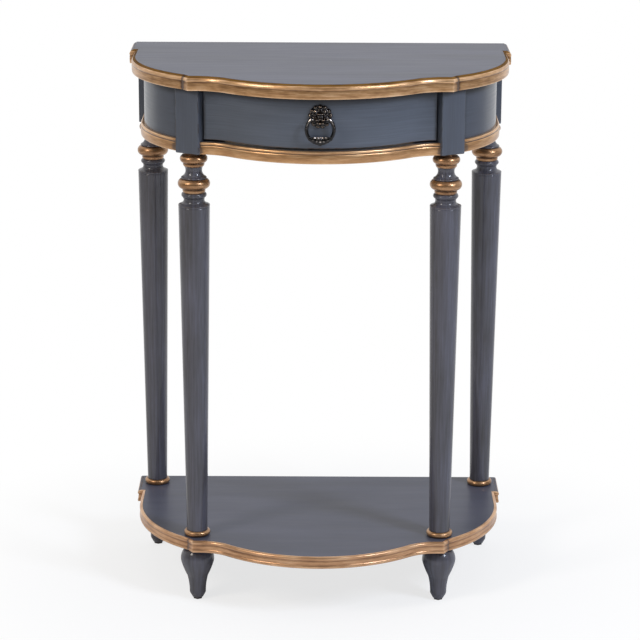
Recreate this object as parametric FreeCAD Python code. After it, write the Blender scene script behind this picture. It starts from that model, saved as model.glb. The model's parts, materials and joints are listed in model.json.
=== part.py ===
import FreeCAD, Part
import math
import os

# Half-round console table with a serpentine front, one drawer and a lower shelf.
# X runs to the right, Y to the back and Z up from the floor, all in millimetres.

Vec = FreeCAD.Vector
UP = Vec(0, 0, 1)
LEFT, RIGHT = -1, 1

# Overall sizes
TABLE_WIDTH = 602.0
TABLE_DEPTH = 374.0
TABLE_HEIGHT = 845.0
TOP_THICKNESS = 22.0
SHELF_THICKNESS = 19.0
SHELF_HEIGHT = 108.0
APRON_HEIGHT = 99.0

# Plan outline, followed by the top, the shelf and the aprons
EAR_DEPTH = 76.0
EAR_STEP = 7.5
SIDE_STRAIGHT = 51.0
STATION_INSET = 102.0
STATION_SETBACK = 66.0
STATION_FLAT = 13.0
RETURN_RUN = 8.0
RETURN_RISE = 13.0
COVE_RADIUS = 68.0

# Insets from that outline
TOP_MOULDING_WIDTH = 9.0
TOP_STEP = 0.8
TOP_SHOULDER_DROP = 4.0
TOP_BEAD_DEPTH = 3.2
TOP_BEAD_HEIGHT = 4.4
TOP_QUIRK = 1.2
TOP_FASCIA_INSET = 0.8
SHELF_INSET = 1.5
SHELF_BEAD_DEPTH = 2.6
SHELF_TOP_BEAD = 5.4
SHELF_LOW_BEAD = 4.4
SHELF_BAND_RECESS = 1.6
SHELF_MOULDING_WIDTH = 5.0
APRON_INSET = 19.0
APRON_THICKNESS = 18.0
BASE_MOULDING_WIDTH = 6.0
BASE_MOULDING_HEIGHT = 19.0
BASE_BEAD_HEIGHT = 4.4
BASE_BEAD_RECESS = 0.7
BASE_QUIRK = 2.2

# Legs: places, square block and turned members from the block down
REAR_LEG_INSET = 32.0
REAR_LEG_FROM_BACK = 30.5
FRONT_LEG_INSET = 8.0
FRONT_LEG_SETBACK = 36.5
BLOCK_SIDE = 40.0
BLOCK_TURN = 27.0
COLLAR_RADIUS = 17.0
COLLAR_HEIGHT = 3.0
BEAD_RADIUS = 21.0
BEAD_HEIGHT = 15.0
NECK_RADIUS = 12.6
NECK_TOP_RADIUS = 15.5
NECK_HEIGHT = 23.0
FLARE_RADIUS = 19.5
TORUS_RADIUS = 24.6
TORUS_HEIGHT = 16.0
TORUS_FILLET_RADIUS = 17.0
TORUS_FILLET_HEIGHT = 6.0
RING_RADIUS = 19.3
RING_HEIGHT = 7.0
SCOTIA_RADIUS = 15.8
SCOTIA_TOP_RADIUS = 17.2
SCOTIA_HEIGHT = 12.0
SCOTIA_DROP = 4.8
COLUMN_TOP_RADIUS = 24.0
RIM_HEIGHT = 2.0
COLUMN_FOOT_RADIUS = 16.1
BASE_RING_RADIUS = 20.6
BASE_RING_HEIGHT = 9.0

# Feet, from the shelf down
FOOT_NECK_RADIUS = 17.0
FOOT_BULB_RADIUS = 26.0
FOOT_BULB_DROP = 21.5
FOOT_WAIST_RADIUS = 15.4
FOOT_WAIST_DROP = 53.0
FOOT_TOE_RADIUS = 12.6
FOOT_TOE_HEIGHT = 8.0
FOOT_TIP_RADIUS = 8.5
GLIDE_RADIUS = 7.5
GLIDE_THICKNESS = 2.5
GLIDE_NAIL_RADIUS = 1.4
GLIDE_NAIL_LENGTH = 12.0

# Flats round each turned piece, and chords along each round stretch of a section
TURNING_FLAT_COUNT = 14
FASTENER_FLAT_COUNT = 6
CASTING_FLAT_COUNT = 8
CHORDS = 3
TWIST_LIMIT = 1e-6

# Studs that join leg, shelf and foot, and loose tenons in the apron joints
STUD_RADIUS = 4.0
STUD_IN_LEG = 35.0
STUD_IN_FOOT = 28.0
STUD_HOLE_GAP = 0.1
TENON_THICKNESS = 8.0
TENON_LENGTH = 24.0
TENON_HEIGHT = 60.0
RAIL_TENON_HEIGHT = 11.0
TENON_GAP = 0.05
BACK_RAIL_THICKNESS = 18.0

# Glued faces keep this much for the glue line
GLUE_LINE = 0.1

# Drawer and the frame that carries it
DRAWER_GAP = 2.0
DRAWER_SIDE_HEIGHT = 60.0
DRAWER_WALL = 12.0
DRAWER_BACK_WALL = 12.0
DRAWER_FRONT_THICKNESS = 18.0
DRAWER_BOTTOM = 5.0
DRAWER_BOTTOM_LIFT = 8.0
DRAWER_GROOVE = 5.0
SLIDE_GAP = 0.3
GUIDE_GAP = 0.8
RUNNER_WIDTH = 22.0
RUNNER_HEIGHT = 15.0
GUIDE_WIDTH = 6.0
GUIDE_HEIGHT = 14.0
RAIL_MARGIN = 1.2
BLOCK_CLEARANCE = 2.3
KICKER_WIDTH = 16.0
STOP_WIDTH = 18.0
STOP_HEIGHT = 30.0
STOP_LENGTH = 30.0
STOP_GAP = 0.5
CLEAT_SIDE = 18.0
CLEAT_MARGIN = 8.0
BACK_CLEAT_MARGIN = 29.0

# Screws that hold the top down
SCREW_RADIUS = 2.0
SCREW_HEAD_RADIUS = 4.0
SCREW_HEAD_HEIGHT = 2.6
SCREW_IN_TOP = 13.0
SCREW_GAP = 0.05
SCREW_END_MARGIN = 14.0

# Mask and ring of the drawer pull
PULL_RISE = 11.0
PLATE_RADIUS = 16.4
PLATE_LOBES = 12
PLATE_LOBE_DEPTH = 2.2
PLATE_THICKNESS = 5.0
FACE_RADIUS = 12.5
FACE_DEPTH = 10.0
MUZZLE_RADIUS = 7.2
MUZZLE_DROP = 6.0
MUZZLE_DEPTH = 13.5
BROW_RADIUS = 4.2
BROW_SPREAD = 5.4
BROW_RISE = 4.6
BROW_DEPTH = 11.0
BOSS_CROWN = 0.62
PIVOT_DROP = 3.0
PIVOT_DEPTH = 9.2
PIVOT_RADIUS = 1.5
PIVOT_GAP = 0.08
JAW_HALF_WIDTH = 8.4
JAW_RADIUS = 4.0
PIVOT_GRIP = 3.6
RING_WIDTH = 40.4
RING_BAR_RADIUS = 2.4
RING_DROP = 15.2
RING_STEPS = 20
RING_SWELL = 2.8
RING_SWELL_HALF_ANGLE = 52.0
RING_POINT = 0.9
PULL_BOLT_RADIUS = 2.0
PULL_NUT_RADIUS = 4.5
PULL_NUT_HEIGHT = 3.5
PULL_BOLT_IN_PLATE = 3.0

# Places that follow from the sizes above
HALF_WIDTH = TABLE_WIDTH / 2
BACK_Y = TABLE_DEPTH / 2
FRONT_Y = -TABLE_DEPTH / 2
REACH = TABLE_WIDTH + TABLE_DEPTH + TABLE_HEIGHT
TOP_UNDERSIDE = TABLE_HEIGHT - TOP_THICKNESS
BLOCK_BOTTOM = TOP_UNDERSIDE - APRON_HEIGHT
SHELF_UNDERSIDE = SHELF_HEIGHT - SHELF_THICKNESS
SIDE_X = HALF_WIDTH - EAR_STEP
EAR_FRONT_Y = BACK_Y - EAR_DEPTH
SIDE_ARC_Y = EAR_FRONT_Y - SIDE_STRAIGHT
STATION = Vec(HALF_WIDTH - STATION_INSET, FRONT_Y + STATION_SETBACK, 0)
RETURN_FOOT = STATION + Vec(RETURN_RUN, RETURN_RISE, 0)
SIDE_RUN = SIDE_X - RETURN_FOOT.x
SIDE_RISE = SIDE_ARC_Y - RETURN_FOOT.y
SIDE_ARC_RADIUS = (SIDE_RUN**2 + SIDE_RISE**2) / (2 * SIDE_RUN)
SIDE_CENTRE = Vec(SIDE_X - SIDE_ARC_RADIUS, SIDE_ARC_Y, 0)
COVE_X = STATION.x - STATION_FLAT
BOW_RADIUS = (COVE_X**2 + STATION_SETBACK**2) / (2 * STATION_SETBACK) - COVE_RADIUS
BOW_CENTRE = Vec(0, FRONT_Y + BOW_RADIUS, 0)
COVE_CENTRE = Vec(COVE_X, STATION.y - COVE_RADIUS, 0)
FRONT_LEG = Vec(STATION.x - FRONT_LEG_INSET, STATION.y + FRONT_LEG_SETBACK, 0)
REAR_LEG = Vec(HALF_WIDTH - REAR_LEG_INSET, BACK_Y - REAR_LEG_FROM_BACK, 0)
RAIL_TOP = BLOCK_BOTTOM + BASE_MOULDING_HEIGHT
DRAWER_FLOOR = RAIL_TOP + DRAWER_GAP
RUNNER_TOP = DRAWER_FLOOR - SLIDE_GAP
DRAWER_FACE_Y = FRONT_Y + APRON_INSET
BACK_RAIL_Y = REAR_LEG.y + BLOCK_SIDE / 2 - BACK_RAIL_THICKNESS
DRAWER_BACK_Y = BACK_RAIL_Y - STOP_LENGTH - STOP_GAP
DRAWER_TOP = TOP_UNDERSIDE - DRAWER_GAP
DRAWER_SIDE_TOP = DRAWER_FLOOR + DRAWER_SIDE_HEIGHT
TURN = math.radians(BLOCK_TURN)
BLOCK_OUTWARD = Vec(math.sin(TURN), -math.cos(TURN), 0)
BLOCK_INWARD = Vec(-math.cos(TURN), -math.sin(TURN), 0)
BLOCK_INNER = FRONT_LEG + (BLOCK_INWARD - BLOCK_OUTWARD) * (BLOCK_SIDE / 2)
RAIL_BACK_Y = BLOCK_INNER.y - RAIL_MARGIN
GUIDE_OUTER_X = BLOCK_INNER.x - BLOCK_CLEARANCE
DRAWER_HALF_WIDTH = GUIDE_OUTER_X - GUIDE_WIDTH - GUIDE_GAP
DRAWER_INNER_INSET = APRON_INSET + DRAWER_FRONT_THICKNESS
BACK_CLEAT_HALF = DRAWER_HALF_WIDTH - KICKER_WIDTH - BACK_CLEAT_MARGIN
REAR_BLOCK_FRONT = REAR_LEG.y - BLOCK_SIDE / 2
REAR_BLOCK_INNER = REAR_LEG.x - BLOCK_SIDE / 2
APRON_INNER_X = SIDE_X - APRON_INSET - APRON_THICKNESS
PULL_CENTRE = Vec(0, DRAWER_FACE_Y, (DRAWER_FLOOR + TOP_UNDERSIDE) / 2 + PULL_RISE)
PIVOT = PULL_CENTRE + Vec(0, -PIVOT_DEPTH, -PIVOT_DROP)


def mirrored(shape, side):
    """The shape itself for the right side, its mirror image for the left."""
    if side == RIGHT:
        return shape
    return shape.mirror(Vec(0, 0, 0), Vec(1, 0, 0))


def keep_side(shape, point, normal):
    """The part of the shape on the side of an upright plane that the normal points to."""
    beyond = Part.makeBox(REACH, REACH, REACH, Vec(0, -REACH / 2, -REACH / 2))
    beyond.Placement = FreeCAD.Placement(point, FreeCAD.Rotation(Vec(1, 0, 0), normal))
    return shape.common(beyond)


def box(x0, x1, y0, y1, z0, z1):
    """A block between two corners."""
    return Part.makeBox(x1 - x0, y1 - y0, z1 - z0, Vec(x0, y0, z0))


def rod(radius, start, direction, length):
    """A round rod from a point along a direction."""
    return Part.makeCylinder(radius, length, start, direction)


def arc(centre, start, end):
    """The shorter arc about a centre from one point to another."""
    middle = (start - centre) + (end - centre)
    middle.normalize()
    return Part.Arc(start, centre + middle * (start - centre).Length, end).toShape()


def line(start, end):
    """A straight edge."""
    return Part.LineSegment(start, end).toShape()


def flipped(point):
    """The same point on the other side of the centre line."""
    return Vec(-point.x, point.y, point.z)


def return_corners(inset):
    """Both ends of the short return at the front leg, for an outline moved in by the inset."""
    along = RETURN_FOOT - STATION
    along.normalize()
    inward = Vec(-along.y, along.x, 0)
    base = STATION + inward * inset
    station = base + along * ((STATION.y + inset - base.y) / along.y)
    reach = base - SIDE_CENTRE
    half = reach.dot(along)
    radius = SIDE_ARC_RADIUS - inset
    foot = base - along * (half + math.sqrt(half**2 - reach.dot(reach) + radius**2))
    return foot, station


def side_edges(inset):
    """Outline edges on the right, from the back edge round the ear to the front-leg station."""
    foot, station = return_corners(inset)
    corner = Vec(HALF_WIDTH - inset, EAR_FRONT_Y + inset, 0)
    step = Vec(SIDE_X - inset, EAR_FRONT_Y + inset, 0)
    bend = Vec(SIDE_X - inset, SIDE_ARC_Y, 0)
    back = Vec(HALF_WIDTH - inset, BACK_Y, 0)
    return [line(back, corner), line(corner, step), line(step, bend),
            arc(SIDE_CENTRE, bend, foot), line(foot, station)]


def bow_edges(inset, flat_end):
    """Serpentine front edges from a right-hand point on the station line to its mirror image."""
    towards_cove = COVE_CENTRE - BOW_CENTRE
    towards_cove.normalize()
    flat = Vec(COVE_X, STATION.y + inset, 0)
    turn = BOW_CENTRE + towards_cove * (BOW_RADIUS - inset)
    apex = Vec(0, FRONT_Y + inset, 0)
    bow = Part.Arc(turn, apex, flipped(turn)).toShape()
    return [line(flat_end, flat), arc(COVE_CENTRE, flat, turn), bow,
            arc(flipped(COVE_CENTRE), flipped(turn), flipped(flat)), line(flipped(flat), flipped(flat_end))]


def outline(inset):
    """The whole plan outline as a face at floor level, moved in by the inset except at the back."""
    right = side_edges(inset)
    front = bow_edges(inset, return_corners(inset)[1])
    left = [edge.mirror(Vec(0, 0, 0), Vec(1, 0, 0)) for edge in right]
    back = line(Vec(inset - HALF_WIDTH, BACK_Y, 0), Vec(HALF_WIDTH - inset, BACK_Y, 0))
    wire = Part.Wire(Part.__sortEdges__(right + front + left + [back]))
    return Part.Face(wire)


def slab(face, z0, z1):
    """A plan face raised to one level and given thickness up to another."""
    raised = face.translated(Vec(0, 0, z0))
    return raised.extrude(Vec(0, 0, z1 - z0))


def front_band(outer, inner, gap, z0, z1):
    """A serpentine board between two insets, fitted between the front blocks with a gap."""
    band = slab(outline(outer), z0, z1).cut(slab(outline(inner), z0, z1))
    return between_blocks(band, gap)


def between_blocks(shape, gap):
    """The part of a shape that lies between the inner sides of the two front blocks."""
    face = FRONT_LEG + BLOCK_INWARD * (BLOCK_SIDE / 2 + gap)
    shape = keep_side(shape, face, BLOCK_INWARD)
    return keep_side(shape, flipped(face), flipped(BLOCK_INWARD))


def skin(rings):
    """A solid between rings of points: flat faces from ring to ring, split where twisted, and flat ends."""
    faces = [Part.Face(Part.makePolygon(ring + ring[:1])) for ring in (rings[0], rings[-1])]
    for low, high in zip(rings, rings[1:]):
        for a, b, c, d in zip(low, low[1:] + low[:1], high[1:] + high[:1], high):
            twist = (b - a).cross(d - a).dot(c - a)
            loops = [[a, b, c, d]] if abs(twist) < TWIST_LIMIT else [[a, b, c], [a, c, d]]
            faces += [Part.Face(Part.makePolygon(loop + loop[:1])) for loop in loops]
    shell = Part.makeShell(faces)
    shell.sewShape()
    solid = Part.Solid(shell)
    if solid.Volume < 0:
        solid.reverse()
    return solid


class Section:
    """A closed section of straight stretches and chorded rounds, first coordinate across, second up."""

    def __init__(self, across, up):
        self.points = [Vec(across, up, 0)]

    def line(self, across, up):
        """Adds a straight stretch."""
        self.points.append(Vec(across, up, 0))
        return self

    def arc(self, across_mid, up_mid, across, up):
        """Adds a round stretch through a middle point, as equal chords."""
        curve = Part.Arc(self.points[-1], Vec(across_mid, up_mid, 0), Vec(across, up, 0)).toShape()
        self.points += curve.discretize(CHORDS + 1)[1:]
        return self

    def crown(self, across_mid, up_mid, across, up):
        """Adds a small bead as two chords through its crown."""
        return self.line(across_mid, up_mid).line(across, up)

    def swept(self, path, start, inward):
        """The section, with its first coordinate along inward, carried along a level path."""
        profile = Part.makePolygon(self.points + self.points[:1])
        frame = FreeCAD.Matrix(inward.x, 0, inward.y, start.x, inward.y, 0, -inward.x, start.y, 0, 1, 0, 0)
        profile.Placement = FreeCAD.Placement(frame)
        return Part.Wire(path).makePipeShell([profile], True, False, 1)

    def turned(self, axis, flats=TURNING_FLAT_COUNT):
        """The section, with its first coordinate as radius, turned about an upright axis in equal flats."""
        angles = [2 * math.pi * (index + 0.5) / flats for index in range(flats)]
        rings = []
        for point in self.points:
            if point.x > 0:
                around = [Vec(math.cos(angle), math.sin(angle), 0) for angle in angles]
                rings.append([axis + spoke * point.x + UP * point.y for spoke in around])
        return skin(rings)


def peg(radius, low, high, axis, flats=FASTENER_FLAT_COUNT):
    """An upright peg between two levels."""
    return Section(0, low).line(radius, low).line(radius, high).line(0, high).turned(axis, flats)


def top_section():
    """Edge of the top: sloping shoulder, bead, quirk and flat fascia."""
    z = TABLE_HEIGHT
    inner = TOP_MOULDING_WIDTH - GLUE_LINE
    bead_top = z - TOP_SHOULDER_DROP
    bead_low = bead_top - TOP_BEAD_HEIGHT
    section = Section(inner, TOP_UNDERSIDE).line(inner, z - TOP_STEP)
    section.line(TOP_BEAD_DEPTH, bead_top)
    section.crown(0, (bead_top + bead_low) / 2, TOP_FASCIA_INSET + TOP_QUIRK, bead_low)
    section.line(TOP_FASCIA_INSET, bead_low - TOP_QUIRK)
    return section.line(TOP_FASCIA_INSET, TOP_UNDERSIDE)


def shelf_section():
    """Edge of the shelf: a bead above and below a sunk flat band."""
    z = SHELF_HEIGHT
    outer = SHELF_INSET
    inner = SHELF_INSET + SHELF_MOULDING_WIDTH - GLUE_LINE
    band = outer + SHELF_BAND_RECESS
    low = SHELF_UNDERSIDE
    section = Section(inner, low).line(inner, z).line(outer + SHELF_BEAD_DEPTH, z)
    section.crown(outer, z - SHELF_TOP_BEAD / 2, outer + SHELF_BEAD_DEPTH, z - SHELF_TOP_BEAD)
    section.line(band, low + SHELF_LOW_BEAD)
    return section.crown(outer, low + SHELF_LOW_BEAD / 2, band, low)


def base_section():
    """Moulding along the foot of the aprons: a thin bead, a quirk and a broad band."""
    inner = APRON_INSET - GLUE_LINE
    outer = APRON_INSET - BASE_MOULDING_WIDTH
    bead = outer + BASE_BEAD_RECESS
    low = RAIL_TOP - BASE_BEAD_HEIGHT
    section = Section(inner, BLOCK_BOTTOM).line(inner, RAIL_TOP).line(bead + BASE_QUIRK, RAIL_TOP)
    section.crown(bead, (RAIL_TOP + low) / 2, bead + BASE_QUIRK, low)
    return section.line(outer, low - BASE_QUIRK / 2).line(outer, BLOCK_BOTTOM)


def mitre(shape, toward_side):
    """Cuts an edge moulding at the station corner, along the line that its corners follow."""
    run = return_corners(TOP_MOULDING_WIDTH)[1] - STATION
    normal = Vec(-run.y, run.x, 0) * toward_side
    normal.normalize()
    return keep_side(shape, STATION + normal * (GLUE_LINE / 2), normal)


def side_moulding(section):
    """Edge moulding of the right side, from the back round the ear to the station corner."""
    path = side_edges(0)
    foot, station = return_corners(0)
    past = station + (station - foot)
    path[-1] = line(foot, past)
    return mitre(section.swept(path, Vec(HALF_WIDTH, BACK_Y, 0), Vec(-1, 0, 0)), -1)


def front_moulding(section):
    """Edge moulding of the serpentine front, mitred at both station corners."""
    end = STATION + Vec(TOP_MOULDING_WIDTH * 2, 0, 0)
    strip = section.swept(bow_edges(0, end), end, Vec(0, 1, 0))
    half = mitre(strip, 1)
    return mirrored(mitre(mirrored(half, LEFT), 1), LEFT)


def leg_axes():
    """Name, axis and block turn of each leg."""
    return [("left_front", flipped(FRONT_LEG), -BLOCK_TURN), ("right_front", FRONT_LEG, BLOCK_TURN),
            ("left_rear", flipped(REAR_LEG), 0), ("right_rear", REAR_LEG, 0)]


def leg_section():
    """Turned part of a leg from the block down to the shelf."""
    z = BLOCK_BOTTOM
    section = Section(0, z).line(COLLAR_RADIUS, z)
    z -= COLLAR_HEIGHT
    section.line(COLLAR_RADIUS, z)
    section.arc(BEAD_RADIUS, z - BEAD_HEIGHT / 2, NECK_TOP_RADIUS, z - BEAD_HEIGHT)
    z -= BEAD_HEIGHT
    section.arc(NECK_RADIUS, z - NECK_HEIGHT / 2, FLARE_RADIUS, z - NECK_HEIGHT)
    z -= NECK_HEIGHT
    section.arc(TORUS_RADIUS, z - TORUS_HEIGHT / 2, TORUS_FILLET_RADIUS, z - TORUS_HEIGHT)
    z -= TORUS_HEIGHT
    section.line(TORUS_FILLET_RADIUS, z - TORUS_FILLET_HEIGHT)
    z -= TORUS_FILLET_HEIGHT
    section.crown(RING_RADIUS, z - RING_HEIGHT / 2, SCOTIA_TOP_RADIUS, z - RING_HEIGHT)
    z -= RING_HEIGHT
    section.line(SCOTIA_RADIUS, z - SCOTIA_DROP).line(COLUMN_TOP_RADIUS, z - SCOTIA_HEIGHT)
    z -= SCOTIA_HEIGHT
    section.line(COLUMN_TOP_RADIUS, z - RIM_HEIGHT)
    ring_top = SHELF_HEIGHT + BASE_RING_HEIGHT
    section.line(COLUMN_FOOT_RADIUS, ring_top)
    section.crown(BASE_RING_RADIUS, SHELF_HEIGHT + BASE_RING_HEIGHT / 2, COLUMN_FOOT_RADIUS, SHELF_HEIGHT)
    return section.line(0, SHELF_HEIGHT)


def foot_section():
    """Turned foot under the shelf: bulb, hollow taper and chamfered toe."""
    top = SHELF_UNDERSIDE
    toe = GLIDE_THICKNESS + FOOT_TOE_HEIGHT
    waist = top - FOOT_WAIST_DROP
    bulb = top - FOOT_BULB_DROP
    shoulder = (FOOT_BULB_RADIUS + FOOT_WAIST_RADIUS) / 2
    section = Section(0, top).line(FOOT_NECK_RADIUS, top)
    section.arc(FOOT_BULB_RADIUS, bulb, shoulder, (bulb + waist) / 2)
    section.line(FOOT_WAIST_RADIUS, waist).line(FOOT_TOE_RADIUS, toe)
    return section.line(FOOT_TIP_RADIUS, GLIDE_THICKNESS).line(0, GLIDE_THICKNESS)


def block(axis, turn):
    """Square block at the head of a leg."""
    half = BLOCK_SIDE / 2
    head = box(-half, half, -half, half, BLOCK_BOTTOM, TOP_UNDERSIDE)
    head.rotate(Vec(0, 0, 0), UP, turn)
    return head.translated(axis)


def studs(gap):
    """Steel studs from each leg through the shelf into the foot."""
    low = SHELF_UNDERSIDE - STUD_IN_FOOT - gap
    high = SHELF_HEIGHT + STUD_IN_LEG + gap
    return [peg(STUD_RADIUS + gap, low, high, axis) for _, axis, _ in leg_axes()]


def glides(gap):
    """Nylon glides with a nail, driven in under the feet."""
    section = Section(0, 0).line(GLIDE_RADIUS, 0).line(GLIDE_RADIUS, GLIDE_THICKNESS)
    section.line(GLIDE_NAIL_RADIUS + gap, GLIDE_THICKNESS)
    section.line(GLIDE_NAIL_RADIUS + gap, GLIDE_THICKNESS + GLIDE_NAIL_LENGTH + gap)
    return [section.turned(axis, FASTENER_FLAT_COUNT) for _, axis, _ in leg_axes()]


def apron_seat():
    """Middle of the right apron's front end, on the outer side of the front block."""
    base = FRONT_LEG - BLOCK_INWARD * (BLOCK_SIDE / 2)
    reach = base - SIDE_CENTRE
    half = reach.dot(BLOCK_OUTWARD)
    radius = SIDE_ARC_RADIUS - APRON_INSET - APRON_THICKNESS / 2
    return base + BLOCK_OUTWARD * (math.sqrt(half**2 - reach.dot(reach) + radius**2) - half)


def tenon_pair(point, direction, height, middle, gap):
    """A loose tenon across a joint on the right, and its mirror image on the left."""
    half = TENON_THICKNESS / 2 + gap
    length = TENON_LENGTH / 2 + gap
    rise = height / 2 + gap
    tenon = box(-length, length, -half, half, -rise, rise)
    tenon.Placement = FreeCAD.Placement(point + UP * middle, FreeCAD.Rotation(Vec(1, 0, 0), direction))
    return [mirrored(tenon, LEFT), tenon]


def apron_tenons(gap):
    """Loose tenons of the side aprons and the back rail in the leg blocks."""
    rear = Vec(APRON_INNER_X + APRON_THICKNESS / 2, REAR_BLOCK_FRONT, 0)
    back = Vec(REAR_BLOCK_INNER, BACK_RAIL_Y + BACK_RAIL_THICKNESS / 2, 0)
    middle = (BLOCK_BOTTOM + TOP_UNDERSIDE) / 2
    pieces = tenon_pair(rear, Vec(0, 1, 0), TENON_HEIGHT, middle, gap)
    pieces += tenon_pair(apron_seat(), BLOCK_INWARD, TENON_HEIGHT, middle, gap)
    return pieces + tenon_pair(back, Vec(1, 0, 0), TENON_HEIGHT, middle, gap)


def rail_tenons(gap):
    """Loose tenons of the front rail in the front blocks."""
    seat = FRONT_LEG + BLOCK_INWARD * (BLOCK_SIDE / 2)
    return tenon_pair(seat, BLOCK_INWARD, RAIL_TENON_HEIGHT, (BLOCK_BOTTOM + RAIL_TOP) / 2, gap)


def screws(gap):
    """Countersunk screws up through the cleats and kickers into the top."""
    cleat_x = APRON_INNER_X - CLEAT_SIDE / 2
    kicker_x = DRAWER_HALF_WIDTH - KICKER_WIDTH / 2
    back_y = BACK_RAIL_Y - CLEAT_SIDE / 2
    end = SCREW_END_MARGIN
    cleat_low = TOP_UNDERSIDE - CLEAT_SIDE
    places = [(cleat_x, SIDE_ARC_Y + CLEAT_MARGIN + end, cleat_low),
              (cleat_x, REAR_BLOCK_FRONT - CLEAT_MARGIN - end, cleat_low),
              (kicker_x, RAIL_BACK_Y + end, DRAWER_SIDE_TOP + GUIDE_GAP),
              (BACK_CLEAT_HALF - end, back_y, cleat_low)]
    fixings = []
    for x, y, low in places:
        tip = TOP_UNDERSIDE + SCREW_IN_TOP + gap
        section = Section(0, low).line(SCREW_HEAD_RADIUS + gap, low)
        section.line(SCREW_RADIUS + gap, low + SCREW_HEAD_HEIGHT).line(SCREW_RADIUS + gap, tip)
        screw = section.turned(Vec(x, y, 0), FASTENER_FLAT_COUNT)
        fixings += [mirrored(screw, LEFT), screw]
    return fixings


def side_band():
    """Right side apron: straight at the back, then curved to the front block."""
    outer_x = SIDE_X - APRON_INSET
    outer_r = SIDE_ARC_RADIUS - APRON_INSET
    inner_r = outer_r - APRON_THICKNESS
    rear = REAR_BLOCK_FRONT - GLUE_LINE
    towards = RETURN_FOOT - SIDE_CENTRE
    towards.normalize()
    start = Vec(outer_x, rear, 0)
    bend = Vec(outer_x, SIDE_ARC_Y, 0)
    end = SIDE_CENTRE + towards * outer_r
    inner_end = SIDE_CENTRE + towards * inner_r
    inner_bend = Vec(APRON_INNER_X, SIDE_ARC_Y, 0)
    inner_start = Vec(APRON_INNER_X, rear, 0)
    edges = [line(start, bend), arc(SIDE_CENTRE, bend, end), line(end, inner_end),
             arc(SIDE_CENTRE, inner_end, inner_bend), line(inner_bend, inner_start), line(inner_start, start)]
    return slab(Part.Face(Part.Wire(edges)), BLOCK_BOTTOM, TOP_UNDERSIDE)


def behind_front_block(shape):
    """The part of a side piece that stops at the outer side of the right front block."""
    outer = BLOCK_INWARD * -1
    return keep_side(shape, FRONT_LEG + outer * (BLOCK_SIDE / 2 + GLUE_LINE), outer)


def side_base_moulding():
    """Moulding along the foot of the right side apron."""
    start = Vec(SIDE_X, REAR_BLOCK_FRONT - GLUE_LINE, 0)
    bend = Vec(SIDE_X, SIDE_ARC_Y, 0)
    path = [line(start, bend), arc(SIDE_CENTRE, bend, RETURN_FOOT)]
    return behind_front_block(base_section().swept(path, start, Vec(-1, 0, 0)))


def front_base_moulding():
    """Moulding along the front rail, between the front blocks."""
    end = STATION
    return between_blocks(base_section().swept(bow_edges(0, end), end, Vec(0, 1, 0)), GLUE_LINE)


def front_rail():
    """Serpentine rail under the drawer."""
    board = slab(outline(APRON_INSET), BLOCK_BOTTOM, RAIL_TOP)
    board = board.common(box(-HALF_WIDTH, HALF_WIDTH, FRONT_Y, RAIL_BACK_Y, BLOCK_BOTTOM, RAIL_TOP))
    return between_blocks(board, GLUE_LINE)


def bottom_groove(gap):
    """Room of the drawer bottom, with its edges let into the front and the sides."""
    low = DRAWER_FLOOR + DRAWER_BOTTOM_LIFT
    half = DRAWER_HALF_WIDTH - DRAWER_WALL + DRAWER_GROOVE + gap
    room = slab(outline(DRAWER_INNER_INSET - DRAWER_GROOVE - gap), low - gap, low + DRAWER_BOTTOM + gap)
    return room.common(box(-half, half, FRONT_Y, DRAWER_BACK_Y + gap, low - gap, low + DRAWER_BOTTOM + gap))


def drawer_front():
    """Serpentine drawer front with the groove for the bottom and the bolt hole of the pull."""
    board = front_band(APRON_INSET, DRAWER_INNER_INSET, DRAWER_GAP, DRAWER_FLOOR, DRAWER_TOP)
    return board.cut(bottom_groove(GLUE_LINE)).cut(pull_bolt(GLUE_LINE))


def drawer_side():
    """Right side of the drawer box, cut to the curve of the front."""
    board = box(DRAWER_HALF_WIDTH - DRAWER_WALL, DRAWER_HALF_WIDTH, FRONT_Y, DRAWER_BACK_Y,
                DRAWER_FLOOR, DRAWER_SIDE_TOP)
    board = board.common(slab(outline(DRAWER_INNER_INSET + GLUE_LINE), DRAWER_FLOOR, DRAWER_SIDE_TOP))
    return board.cut(bottom_groove(GLUE_LINE))


def drawer_back():
    """Back of the drawer box, standing on the bottom."""
    half = DRAWER_HALF_WIDTH - DRAWER_WALL - GLUE_LINE
    low = DRAWER_FLOOR + DRAWER_BOTTOM_LIFT + DRAWER_BOTTOM + GLUE_LINE
    return box(-half, half, DRAWER_BACK_Y - DRAWER_BACK_WALL, DRAWER_BACK_Y, low, DRAWER_SIDE_TOP)


def facing_front(shape, place):
    """A shape turned about the upright axis at the origin, laid to point out of the drawer front."""
    shape.rotate(Vec(0, 0, 0), Vec(1, 0, 0), 90)
    return shape.translated(place)


def pull_bolt(gap):
    """Bolt from inside the drawer through its front into the mask, with its head."""
    under_head = -DRAWER_FRONT_THICKNESS - GLUE_LINE
    tip = PULL_BOLT_IN_PLATE + gap
    section = Section(0, under_head - PULL_NUT_HEIGHT).line(PULL_NUT_RADIUS, under_head - PULL_NUT_HEIGHT)
    section.line(PULL_NUT_RADIUS, under_head).line(PULL_BOLT_RADIUS + gap, under_head)
    section.line(PULL_BOLT_RADIUS + gap, tip)
    return facing_front(section.turned(Vec(0, 0, 0), FASTENER_FLAT_COUNT), PULL_CENTRE)


def mane_plate():
    """Plate of the mask with a lobed edge, let into the curve of the drawer front."""
    rim = []
    for index in range(PLATE_LOBES * 2):
        angle = math.pi * index / PLATE_LOBES
        radius = PLATE_RADIUS + PLATE_LOBE_DEPTH * (index % 2)
        rim.append(Vec(radius * math.sin(angle), radius * math.cos(angle), -PLATE_THICKNESS))
    rise = Vec(0, 0, PLATE_THICKNESS * 2)
    return facing_front(skin([rim, [point + rise for point in rim]]), PULL_CENTRE)


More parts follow.
